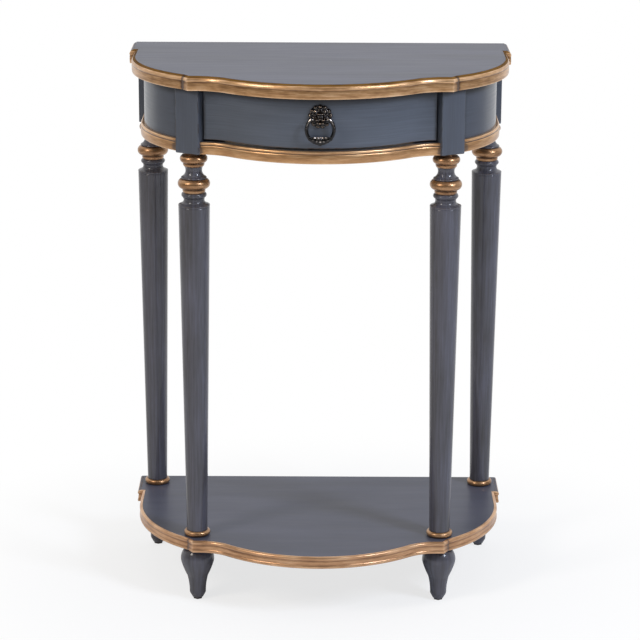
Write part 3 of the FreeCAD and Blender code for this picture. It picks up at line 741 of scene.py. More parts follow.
def turn(surface: Surface, axis: Array, section: Section) -> None:
    """Turns an open section about an upright axis and closes both ends.

    Row k, column j lies at the radius and height of section point k, at the angle of segment j.

    Args:
        surface: Where the grid goes.
        axis: Plan place of the axis.
        section: Radius and height.
    """
    radius, up = section.points.T
    ring = circle(np.linspace(0, 2 * math.pi, TURN_SEGMENTS + 1))
    points = raised(axis + radius[:, None, None] * ring, up[:, None])
    spread = np.broadcast_to(ring * np.mean(radius) + axis, points.shape[:2] + (2,))
    grain = np.concatenate([points[..., 2:], spread], axis=-1)
    exposure = np.broadcast_to(section.exposure()[:, None], points.shape[:2])
    surface.grid(points.swapaxes(0, 1), grain.swapaxes(0, 1), exposure.T, section.coats)
    surface.ends(points, grain, [Coat(int(section.coats[row])) for row in (0, -1)])


# Finishes

# Settings that finishes share: a smooth range, fine noise, and the values that most noise lies between.
SMOOTH = {"interpolation_type": "SMOOTHSTEP"}
FINE_DETAIL = 4.0
FINE_ROUGHNESS = 0.6
NOISE_RANGE = (0.3, 0.7)


def linear(code: str) -> tuple[float, float, float, float]:
    """Linear colour of an sRGB hex code such as 5A5E68.

    Args:
        code: Six hex digits.

    Returns:
        Red, green, blue and full alpha.
    """
    values = np.array([int(code[place:place + 2], 16) / 255 for place in (0, 2, 4)])
    light = np.where(values <= 0.04045, values / 12.92, ((values + 0.055) / 1.055) ** 2.4)
    return (*light.tolist(), 1.0)


class Nodes:
    """A node tree under construction."""

    def __init__(self, tree: bpy.types.NodeTree) -> None:
        """Empties the tree."""
        self.tree = tree
        self.tree.nodes.clear()

    def add(self, kind: str, inputs: Union[dict[Any, Any], Sequence[Any]] = (),
            stops: Sequence[tuple[float, str]] = (), **settings: Any) -> bpy.types.Node:
        """Adds a node with its settings and links.

        Args:
            kind: Blender's name of the node type, after the word ShaderNode.
            inputs: In order, or by name or number: a value, an output, or a node for its first output.
            stops: Places and hex codes of a colour ramp.
            settings: Properties of the node.

        Returns:
            The node.
        """
        node = self.tree.nodes.new(f"ShaderNode{kind}")
        for key, value in settings.items():
            setattr(node, key, value)
        for key, value in inputs.items() if isinstance(inputs, dict) else enumerate(inputs):
            source = value.outputs[0] if isinstance(value, bpy.types.Node) else value
            if isinstance(source, bpy.types.NodeSocket):
                self.tree.links.new(source, node.inputs[key])
            else:
                node.inputs[key].default_value = source
        while stops and len(node.color_ramp.elements) < len(stops):
            node.color_ramp.elements.new(1.0)
        for number, (place, code) in enumerate(stops):
            node.color_ramp.elements[number].position = place
            node.color_ramp.elements[number].color = linear(code)
        return node

    def pattern(self, place: Any, size: Sequence[float], detail: float = 3.0,
                roughness: float = 0.55) -> bpy.types.Node:
        """Noise whose features have given lengths.

        Args:
            place: Coordinates in millimetres.
            size: Length of a feature along each of them.
            detail: How many finer layers are added.
            roughness: Share of its strength that each finer layer keeps.

        Returns:
            The node with the noise.
        """
        spread = self.add("Mapping", {"Vector": place, "Scale": tuple(1 / length for length in size)})
        inputs = {"Vector": spread, "Scale": 1.0, "Detail": detail, "Roughness": roughness}
        return self.add("TexNoise", inputs)

    def place_mm(self) -> bpy.types.Node:
        """Place on the object in millimetres."""
        place = self.add("TexCoord").outputs["Object"]
        return self.add("VectorMath", {0: place, "Scale": 1 / MM}, operation="SCALE")

    def shown(self, mirrored: Any) -> bpy.types.Node:
        """1 for rays of the eye, and a share for rays that gloss or glass sends on.

        Args:
            mirrored: The share.

        Returns:
            The node with the factor.
        """
        ray = self.add("LightPath").outputs
        sent = self.add("Math", (ray["Is Glossy Ray"], ray["Is Transmission Ray"]), operation="MAXIMUM")
        shared = self.add("Math", (sent, mirrored), operation="MULTIPLY")
        return self.add("Math", (ray["Is Camera Ray"], shared), operation="MAXIMUM")


class Shader(Nodes):
    """A material's nodes."""

    def __init__(self, name: str) -> None:
        """Starts the material.

        Args:
            name: What the material is and how its surface was made.
        """
        self.material = bpy.data.materials.new(name)
        self.material.use_nodes = True
        super().__init__(self.material.node_tree)

    def done(self, inputs: dict[str, Any]) -> bpy.types.Material:
        """Adds the Principled shader with its inputs, and gives the material."""
        self.add("OutputMaterial", {"Surface": self.add("BsdfPrincipled", inputs)})
        return self.material


@dataclass(frozen=True)
class PaintFinish:
    """Slate-blue paint brushed along the grain, rubbed to a brown ground on arrises, under lacquer."""

    # Noise values of the dark, the middle and the light tone.
    TONES: ClassVar[Triple] = (0.33, 0.5, 0.68)
    # Size of a worn patch, and the exposures and noise values over which it is rubbed bare.
    PATCH: ClassVar[Triple] = (9.0, 9.0, 14.0)
    ARRIS: ClassVar[Pair] = (0.12, 0.5)
    RUBBED_PATCH: ClassVar[Pair] = (0.42, 0.62)
    # Exposures and noise values over which dark glaze and painted shade are left, how much of them, and
    # their colour, which also paints the shade under an overhang.
    HOLLOW: ClassVar[Pair] = (-0.08, -0.4)
    GLAZED_PATCH: ClassVar[Pair] = (0.3, 0.55)
    GLAZE_LEFT: ClassVar[Pair] = (0.35, 0.75)
    GLAZE_AND_SHADE: ClassVar[str] = "1A191B"
    # How far the painted shade under an overhang reaches down, and its strength.
    SHADE_DEPTH: ClassVar[float] = 9.0
    SHADE: ClassVar[float] = 0.85
    # Roughness across the brush marks, their depth, and the gloss of the paint under the lacquer.
    ROUGHNESS: ClassVar[Pair] = (0.42, 0.54)
    RIDGE: ClassVar[float] = 0.012
    SPECULAR: ClassVar[float] = 0.2
    name: str = "slate_blue_paint_brushed_under_lacquer"
    dark: str = "464B54"
    body: str = "4E545E"
    light: str = "575D68"
    ground: str = "5E4630"
    rub: float = 0.7
    coat: float = 0.6
    haze: float = 0.12
    brushed: float = 0.4
    # Brush marks are finer than this on the real paint and are drawn coarse enough to show.
    streak: Triple = (95.0, 1.8, 1.8)
    cloud: Triple = (240.0, 55.0, 55.0)
    # Whether the mesh stores grain and exposure, as new pieces do, and where the painted shade under an
    # overhang is full.
    on_mesh: bool = True
    overhang: Optional[float] = None

    def wear_and_shade(self, shader: Shader, colour: Any) -> Any:
        """Rubs the colour to the ground on arrises, leaves dark glaze and painted shade in hollows and
        joints, and painted shade under an overhang.

        Args:
            shader: Where the nodes go.
            colour: Colour of the paint.

        Returns:
            The worn colour.
        """
        exposure = shader.add("Attribute", attribute_name="exposure").outputs["Fac"]
        place = shader.place_mm()
        patch = shader.pattern(place, self.PATCH, FINE_DETAIL)
        arris = shader.add("MapRange", (exposure, *self.ARRIS), **SMOOTH)
        patches = shader.add("MapRange", (patch, *self.RUBBED_PATCH), **SMOOTH)
        rubbed = shader.add("Math", (arris, patches), operation="MULTIPLY")
        bare = shader.add("Math", (rubbed, self.rub), operation="MULTIPLY")
        colour = shader.add("Mix", {0: bare, 6: colour, 7: linear(self.ground)}, data_type="RGBA").outputs[2]
        hollow = shader.add("MapRange", (exposure, *self.HOLLOW), **SMOOTH)
        kept = shader.add("MapRange", (patch, *self.GLAZED_PATCH, *self.GLAZE_LEFT), **SMOOTH)
        darkened = shader.add("Math", (hollow, kept), operation="MULTIPLY")
        # Painted shade below the top's overhang: darkest at the overhang height, fading over the shade depth
        # below it.
        if self.overhang is not None:
            height = shader.add("SeparateXYZ", (place,)).outputs["Z"]
            under = (height, self.overhang - self.SHADE_DEPTH, self.overhang, 0.0, self.SHADE)
            shaded = shader.add("MapRange", under, **SMOOTH)
            darkened = shader.add("Math", (darkened, shaded), operation="MAXIMUM")
        return shader.add("Mix", {0: darkened, 6: colour, 7: linear(self.GLAZE_AND_SHADE)}, data_type="RGBA").outputs[2]

    def material(self) -> bpy.types.Material:
        """Streaks give the eye a brushed coat, clouds a hand-made one, the brown arrises years of dusting.

        Returns:
            The material.
        """
        shader = Shader(self.name)
        if self.on_mesh:
            place = shader.add("Attribute", attribute_name="grain").outputs["Vector"]
        else:
            place = shader.place_mm()
        streak = shader.pattern(place, self.streak, FINE_DETAIL, FINE_ROUGHNESS)
        brushed = shader.add("Math", (streak, self.brushed), operation="MULTIPLY")
        cloud = shader.pattern(place, self.cloud)
        tone = shader.add("Math", (cloud, 1 - self.brushed, brushed), operation="MULTIPLY_ADD")
        colour = shader.add("ValToRGB", (tone,), tuple(zip(self.TONES, (self.dark, self.body, self.light))))
        return shader.done({
            "Base Color": self.wear_and_shade(shader, colour.outputs[0]) if self.on_mesh else colour,
            "Roughness": shader.add("MapRange", (streak, *NOISE_RANGE, *self.ROUGHNESS), **SMOOTH),
            "Normal": shader.add("Bump", {"Height": streak, "Distance": self.RIDGE * MM}),
            "Coat Weight": self.coat, "Coat Roughness": self.haze, "Specular IOR Level": self.SPECULAR})


@dataclass(frozen=True)
class GiltFinish:
    """Gold paint brushed along the moulding, with a dark glaze wiped into its hollows."""

    # Values of the three tones, and how far exposure and blots sway them.
    TONES: ClassVar[Triple] = (0.3, 0.52, 0.8)
    RELIEF: ClassVar[float] = 0.35
    BLOT_SHARE: ClassVar[float] = 0.55
    # Exposure at which glaze begins, and noise values over which a blot of it is left.
    HOLLOW: ClassVar[float] = -0.05
    WIPED: ClassVar[Pair] = (0.58, 0.74)
    # Share of the metallic look under glaze, haze of the varnish and depth of the brush marks.
    GLAZED_METAL: ClassVar[float] = 0.25
    COAT_HAZE: ClassVar[float] = 0.15
    RIDGE: ClassVar[float] = 0.03
    name: str = "antique_gold_paint_with_wiped_glaze"
    glaze: str = "2E1F14"
    dark: str = "7A5636"
    body: str = "B98C5E"
    light: str = "ECC394"
    # Brush marks are finer than this on the real gold and are drawn coarse enough to show.
    streak: Triple = (38.0, 1.1, 1.1)
    blot: Triple = (30.0, 9.0, 9.0)
    metallic: float = 0.85
    roughness: Pair = (0.28, 0.42)
    coat: float = 0.3
    specular: float = 0.5
    # Exposure at which glaze is full, its strength, and how much of it the blots have.
    quirk: float = -0.5
    kept: float = 0.65
    blots: float = 0.5

    def material(self) -> bpy.types.Material:
        """Streaks show the brush, glaze in quirks and in blots along the length makes new gold look old.

        Returns:
            The material.
        """
        shader = Shader(self.name)
        place = shader.add("Attribute", attribute_name="grain").outputs["Vector"]
        exposure = shader.add("Attribute", attribute_name="exposure").outputs["Fac"]
        streak = shader.pattern(place, self.streak, FINE_DETAIL, FINE_ROUGHNESS)
        blot = shader.pattern(place, self.blot)
        brushed = shader.add("Math", (streak, 1 - self.BLOT_SHARE), operation="MULTIPLY")
        mottled = shader.add("Math", (blot, self.BLOT_SHARE, brushed), operation="MULTIPLY_ADD")
        tone = shader.add("Math", (exposure, self.RELIEF, mottled), operation="MULTIPLY_ADD")
        gold = shader.add("ValToRGB", (tone,), tuple(zip(self.TONES, (self.dark, self.body, self.light))))
        hollow = shader.add("MapRange", (exposure, self.HOLLOW, self.quirk), **SMOOTH)
        blotted = shader.add("MapRange", (blot, *self.WIPED), **SMOOTH)
        wiped = shader.add("Math", (blotted, self.blots), operation="MULTIPLY")
        darkened = shader.add("Math", (hollow, wiped), operation="MAXIMUM")
        left = shader.add("Math", (darkened, self.kept), operation="MULTIPLY")
        metal = (self.metallic, self.metallic * self.GLAZED_METAL)
        mix = shader.add("Mix", {0: left, 6: gold, 7: linear(self.glaze)}, data_type="RGBA")
        return shader.done({
            "Base Color": mix.outputs[2],
            "Roughness": shader.add("MapRange", (streak, *NOISE_RANGE, *self.roughness), **SMOOTH),
            "Normal": shader.add("Bump", {"Height": streak, "Distance": self.RIDGE * MM}),
            "Metallic": shader.add("MapRange", (darkened, 0.0, 1.0, *metal), **SMOOTH),
            "Coat Weight": self.coat, "Coat Roughness": self.COAT_HAZE, "Specular IOR Level": self.specular})


@dataclass(frozen=True)
class WoodFinish:
    """Planed wood: growth bands stretched along the board with short pores."""

    # Values of both tones, the pores' share in them, the bands' finer layers and the depth of a pore.
    TONES: ClassVar[Pair] = (0.35, 0.62)
    PORE_SHARE: ClassVar[float] = 0.4
    BAND_DETAIL: ClassVar[float] = 2.0
    PORE_DEPTH: ClassVar[float] = 0.08
    name: str = "planed_secondary_wood"
    dark: str = "A37F54"
    light: str = "D0AC7D"
    # Length and width of a growth band and of a pore, which is drawn coarse enough to show.
    band: Pair = (160.0, 9.0)
    pore: Pair = (14.0, 0.7)
    roughness: float = 0.62

    def material(self, along: int) -> bpy.types.Material:
        """Bands read as a plain cheap board, pores keep it from looking like plastic.

        Args:
            along: Number of the axis that the grain runs along.

        Returns:
            The material.
        """
        shader = Shader(f"{self.name}_along_{'xyz'[along]}")
        place = shader.place_mm()
        band = shader.pattern(place, [self.band[axis != along] for axis in range(3)], self.BAND_DETAIL)
        pore = shader.pattern(place, [self.pore[axis != along] for axis in range(3)])
        banded = shader.add("Math", (band, 1 - self.PORE_SHARE), operation="MULTIPLY")
        tone = shader.add("Math", (pore, self.PORE_SHARE, banded), operation="MULTIPLY_ADD")
        return shader.done({
            "Base Color": shader.add("ValToRGB", (tone,), tuple(zip(self.TONES, (self.dark, self.light)))),
            "Normal": shader.add("Bump", {"Height": pore, "Distance": self.PORE_DEPTH * MM}),
            "Roughness": self.roughness})


@dataclass(frozen=True)
class MetalFinish:
    """Cast or plated metal, a casting with a patina left in its hollows under wax."""

    # Values of the three tones, and how far exposure and mottling sway them on a casting.
    TONES: ClassVar[Triple] = (0.2, 0.45, 0.8)
    RELIEF: ClassVar[float] = 0.5
    MOTTLE: ClassVar[float] = 0.8
    # Wax on a casting, its haze, and the depth of the grit.
    WAX: ClassVar[float] = 0.7
    WAX_HAZE: ClassVar[float] = 0.06
    GRIT: ClassVar[float] = 0.02
    name: str
    dark: str
    body: str
    light: str
    roughness: Pair
    spot: float
    cast: bool

    def material(self) -> bpy.types.Material:
        """Mottled tone gives a casting or a plating, rubbed high spots catch the light.

        Returns:
            The material.
        """
        shader = Shader(self.name)
        mottle = shader.pattern(shader.place_mm(), (self.spot,) * 3, FINE_DETAIL)
        tone = mottle
        if self.cast:
            exposure = shader.add("Attribute", attribute_name="exposure").outputs["Fac"]
            mottled = shader.add("Math", (mottle, self.MOTTLE), operation="MULTIPLY")
            tone = shader.add("Math", (exposure, self.RELIEF, mottled), operation="MULTIPLY_ADD")
        stops = tuple(zip(self.TONES, (self.dark, self.body, self.light)))
        return shader.done({
            "Base Color": shader.add("ValToRGB", (tone,), stops),
            "Roughness": shader.add("MapRange", (mottle, *NOISE_RANGE, *self.roughness), **SMOOTH),
            "Normal": shader.add("Bump", {"Height": mottle, "Distance": self.GRIT * MM}),
            "Metallic": 1.0, "Coat Weight": self.WAX if self.cast else 0.0, "Coat Roughness": self.WAX_HAZE})


@dataclass(frozen=True)
class NylonFinish:
    """Moulded nylon, faintly speckled."""

    name: str = "moulded_nylon"
    dark: str = "2A2725"
    light: str = "3B3734"
    # Moulded grain is finer than this and is drawn coarse enough to show.
    speck: float = 0.8
    grit: float = 0.03
    roughness: float = 0.5

    def material(self) -> bpy.types.Material:
        """Speckle and a soft gloss tell plastic from paint.

        Returns:
            The material.
        """
        shader = Shader(self.name)
        speck = shader.pattern(shader.place_mm(), (self.speck,) * 3)
        return shader.done({
            "Base Color": shader.add("ValToRGB", (speck,), tuple(zip(NOISE_RANGE, (self.dark, self.light)))),
            "Normal": shader.add("Bump", {"Height": speck, "Distance": self.grit * MM}),
            "Roughness": self.roughness})


class Finishes:
    """Every material of the table."""

    def __init__(self) -> None:
        """Makes the materials."""
        # Blocks, aprons and drawer front darken below the top's overhang as painted shade; the aprons take a
        # darker copy of the block paint, also as painted shade.
        worn = PaintFinish("slate_blue_paint_worn_on_arrises", "41454E", "484D57", "505661", "2C211A",
                           rub=0.9, overhang=822.0)
        apron = replace(worn, name="slate_blue_paint_on_aprons", dark="3A3E47", body="414650",
                        light="494F5A", overhang=816.5)
        satin = PaintFinish("slate_blue_paint_rubbed_to_satin", "43454F", "4A4C59", "525462",
                            coat=0.2, haze=0.25)
        turned = PaintFinish("slate_blue_paint_on_turned_wood", "3A3839", "49484F", "565662",
                             rub=0.3, coat=0.65, brushed=0.55, streak=(80.0, 3.0, 3.0),
                             cloud=(120.0, 30.0, 30.0))
        self.paint = PaintFinish(overhang=819.0).material()
        self.block_paint = worn.material()
        self.shade_darkened_apron_paint = apron.material()
        self.panel_paint = satin.material()
        self.turned_paint = turned.material()
        gilt = GiltFinish(dark="8A6446", body="BA8D66", light="EAC29A", kept=0.5, blots=0.15)
        quirked = GiltFinish("antique_gold_paint_glazed_in_quirks", dark="8A6440", body="B88A5C",
                             light="EAC294", quirk=-0.2, kept=0.75, blots=0.15)
        aged = GiltFinish("antique_gold_paint_rubbed_and_glazed", dark="70492A", body="BA8E60",
                          light="F8D0A6", quirk=-0.25, blots=0.2)
        turned_gold = GiltFinish("antique_gold_paint_on_turned_wood", dark="5A3E28", body="946C48",
                                 light="D6AC80", streak=(1.2, 30.0, 30.0), blot=(7.0, 26.0, 26.0))
        # Dull, darker gold for the top moulding's upward groove and upper ovolo: painted shade.
        darkened = GiltFinish("antique_gold_paint_under_heavy_glaze", "2A1C0C", "462E10", "66471C", "8C6630",
                            metallic=0.05, roughness=(0.65, 0.8), coat=0.0, specular=0.1)
        self.gilt = gilt.material()
        self.quirked_gilt = quirked.material()
        self.aged_gilt = aged.material()
        self.turned_gilt = turned_gold.material()
        self.shade_painted_gilt = darkened.material()
        patina = MetalFinish("cast_bronze_dark_patina", "040303", "14100E", "A08C78",
                             roughness=(0.08, 0.14), spot=2.0, cast=True)
        polished = MetalFinish("polished_cast_bronze_with_painted_sheen", "060505", "2A2420", "D8CCC2",
                               roughness=(0.1, 0.18), spot=3.0, cast=True)
        steel = MetalFinish("zinc_plated_steel", "84868A", "A9ABAD", "C9CACB",
                            roughness=(0.3, 0.42), spot=3.0, cast=False)
        self.bronze = patina.material()
        self.polished_bronze = polished.material()
        ply = WoodFinish("birch_plywood", "C2A276", "DDC196", band=(240.0, 14.0), pore=(20.0, 0.6),
                         roughness=0.5)
        self.boards = {slot: [wood.material(axis) for axis in range(3)]
                       for slot, wood in ((Slot.BARE, WoodFinish()), (Slot.PLY, ply))}
        self.by_slot = {Slot.PAINT: PaintFinish("slate_blue_paint_inside", on_mesh=False).material(),
                        Slot.STEEL: steel.material(), Slot.NYLON: NylonFinish().material()}

    def hidden(self, slot: Slot, along: int) -> Optional[bpy.types.Material]:
        """Material of a CAD node, by its slot and the number of its longest axis."""
        return self.boards[slot][along] if slot in self.boards else self.by_slot.get(slot)


# Pieces


@dataclass
class Dresser:
    """Puts pieces on their bodies in place of CAD nodes and reports them."""

    finishes: Finishes

    def place(self, piece: bpy.types.Object, body: Body, slot: Slot, *nodes: str) -> None:
        """Lets a piece ride on a body in place of CAD nodes.

        Args:
            piece: The finished piece.
            body: Body that carries it.
            slot: Its material slot; not used.
            nodes: CAD nodes that it replaces.
        """
        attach(piece, body.value)
        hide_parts(*nodes)
        LOG.info("%s: %d faces in place of %s", piece.name, len(piece.data.polygons), ", ".join(nodes))

    def dress(self) -> None:
        """Gives every CAD node whose slot has a material here that material, wood with its grain along the
        node's longest side.
        """
        for part in frame["record"]["subparts"]:
            node = frame["nodes"][part["node"]]
            finish = self.finishes.hidden(Slot(part["material_slot"]), int(np.argmax(node.dimensions)))
            if finish is not None:
                node.data.materials.clear()
                node.data.materials.append(finish)
                LOG.info("%s: %s", part["node"], finish.name)


@dataclass
class Panels:
    """Top and shelf panels inside their gilt edges."""

    # Chords in the softened edge, and the distance within which two points are one.
    EDGE_CHORDS: ClassVar[int] = 3
    SAME_POINT: ClassVar[float] = 1e-3
    plan: Plan
    top_inset: float = 6.2
    shelf_inset: float = 6.5
    border: float = 12.0
    softened: float = 0.5

    def panel(self, inset: float, low: float, high: float) -> Surface:
        """A flat panel: softened edge, a border strip on each face and one flat face within it.

        Rings of the outline are taken at the insets and heights of the edge's section.

        Args:
            inset: How far the panel's edge lies inside the outline.
            low: Underside.
            high: Upper side.

        Returns:
            The surface.
        """
        soft, cut, chords = self.softened, corner_cut(self.softened), self.EDGE_CHORDS
        pen = Pen(inset + self.border, high).line(inset + soft, high)
        pen.arc((inset + cut, high - cut), (inset, high - soft), count=chords).line(inset, low + soft)
        pen.arc((inset + cut, low + cut), (inset + soft, low), count=chords).line(inset + self.border, low)
        section = pen.section(closed=False)
        across, up = section.points.T
        right = [stretch.points() for stretch in self.plan.side(across)]
        front = [stretch.points() for stretch in self.plan.front(across)]
        left = [points[::-1] * MIRROR for points in reversed(right)]
        points = raised(np.concatenate(right + front + left + [right[0][:1]]), up)
        surface = Surface()
        surface.grid(points, points, section.exposure(), section.coats)
        for column in (0, -1):
            loop = points[:-1, column]
            apart = np.linalg.norm(np.diff(loop, axis=0), axis=1) > self.SAME_POINT
            loop = loop[np.concatenate([[True], apart])]
            surface.cap(loop, loop)
        return surface

    def build(self, dresser: Dresser) -> None:
        """Makes both panels.

        Args:
            dresser: What puts them in place.
        """
        plan = self.plan
        levels = (("top_panel", self.top_inset, plan.top_underside, plan.top),
                  ("shelf_panel", self.shelf_inset, plan.shelf_underside, plan.shelf))
        for node, inset, low, high in levels:
            panel = self.panel(inset, low, high).build(f"painted_{node}", [dresser.finishes.panel_paint])
            dresser.place(panel, Body.TABLE, Slot.PAINT, node)


@dataclass
class Mouldings:
    """Gilt mouldings round the top, the shelf and the foot of the aprons."""

    plan: Plan
    top_width: float = 6.1
    shelf_inset: float = 1.5
    shelf_width: float = 4.9
    base_outer: float = 13.0
    base_inner: float = 18.9

    def top_section(self) -> Section:
        """Groove and upper ovolo darkened as painted shade, the rest of the broad ovolo, soft hollow and a
        faintly rounded fascia.

        Returns:
            The section.
        """
        z, low, back, darkened = self.plan.top, self.plan.top_underside, self.top_width, Coat.THIRD
        pen = Pen(back, low).line(back, z - 0.4).arc((5.6, z - 1.1), (5.0, z - 0.95), darkened, 5)
        pen.line(4.6, z - 1.05, darkened).line(4.1, z - 1.35, darkened)
        pen.arc((3.25, z - 1.854), (2.357, z - 2.673), darkened, 6)
        pen.arc((1.342, z - 3.761), (0.3, z - 6.0), count=8)
        pen.arc((0.3, z - 7.0), (0.7, z - 7.9), count=6).arc((0.85, z - 8.7), (0.75, z - 9.8), count=5)
        pen.arc((0.5, z - 15.0), (0.75, low + 1.6), count=9)
        pen.arc((1.05, low + 0.5), (2.0, low), count=5)
        return pen.section()

    def shelf_section(self) -> Section:
        """A bead on top, a shallow band and a soft bead below.

        Returns:
            The section.
        """
        z, low, out, top = self.plan.shelf, self.plan.shelf_underside, self.shelf_inset, Coat.THIRD
        back = out + self.shelf_width
        pen = Pen(back, low).line(back, z - 0.1).line(out + 3.6, z - 0.1, top)
        pen.arc((out + 2.4, z - 0.4), (out + 1.4, z - 0.9), top, 5)
        pen.arc((out + 0.5, z - 2.2), (out + 0.5, z - 4.4), count=9)
        pen.arc((out + 0.9, z - 5.3), (out + 1.5, z - 6.0), count=5)
        pen.arc((out + 1.6, z - 7.4), (out + 1.3, z - 8.6), count=5)
        pen.line(out + 1.1, low + 5.4).arc((out + 0.2, low + 2.6), (out + 1.6, low + 0.1), count=12)
        return pen.section()

    def base_section(self) -> Section:
        """A thin bead, a soft quirk and a broad, faintly rounded band.

        Returns:
            The section.
        """
        z, low, out, back = self.plan.base_top, self.plan.apron_bottom, self.base_outer, self.base_inner
        pen = Pen(back, low).line(back, z - 0.1).line(out + 3.0, z - 0.1)
        pen.arc((out + 0.8, z - 1.4), (out + 0.8, z - 3.6), count=10)
        pen.arc((out + 1.2, z - 4.4), (out + 1.2, z - 5.1), count=4)
        pen.arc((out + 0.6, z - 5.7), (out + 0.2, z - 6.8), count=5)
        pen.arc((out, z - 12.0), (out + 0.5, low + 1.8), count=9)
        pen.arc((out + 0.9, low + 0.5), (out + 2.0, low), count=5)
        return pen.section()

    def build(self, dresser: Dresser) -> None:
        """Makes the nine lengths: left, right and front at each of three levels.

        Args:
            dresser: What puts them in place.
        """
        plan, looks = self.plan, dresser.finishes
        under_drawer = partial(plan.between_blocks, gap=plan.joint)
        # The top's third finish is its gold darkened as painted shade.
        levels = (
            ("top", "top", looks.aged_gilt, looks.shade_painted_gilt, self.top_section(), plan.side, plan.front),
            ("shelf", "shelf", looks.gilt, looks.gilt, self.shelf_section(), plan.side, plan.front),
            ("side_base", "base", looks.quirked_gilt, looks.quirked_gilt, self.base_section(), plan.apron,
             under_drawer),
        )
        for side_word, front_word, first, third, section, side, front in levels:
            across = section.points[:, 0]
            lengths = [(f"{hand.name.lower()}_{side_word}", side(across), hand, True) for hand in Hand]
            lengths.append((f"front_{front_word}", front(across), Hand.RIGHT, False))
            for word, stretches, hand, ear in lengths:
                surface = Surface()
                sweep(surface, stretches, section, hand, ear)
                piece = surface.build(f"gilt_{word}_moulding", [first, looks.panel_paint, third])
                dresser.place(piece, Body.TABLE, Slot.GILT, f"{word}_moulding")


@dataclass
class Aprons:
    """Curved side aprons."""

    plan: Plan
    softened: float = 0.6

    def build(self, dresser: Dresser) -> None:
        """Makes both aprons.

        Args:
            dresser: What puts them in place.
        """
        plan = self.plan
        across = (plan.board_inset, plan.board_inset + plan.board)
        section = rounded_rectangle(across, (plan.apron_bottom, plan.top_underside), self.softened)
        for hand in Hand:
            surface = Surface()
            sweep(surface, plan.apron(section.points[:, 0]), section, hand)
            node = f"{hand.name.lower()}_side_apron"
            piece = surface.build(f"painted_{node}", [dresser.finishes.shade_darkened_apron_paint])
            dresser.place(piece, Body.TABLE, Slot.PAINT, node)


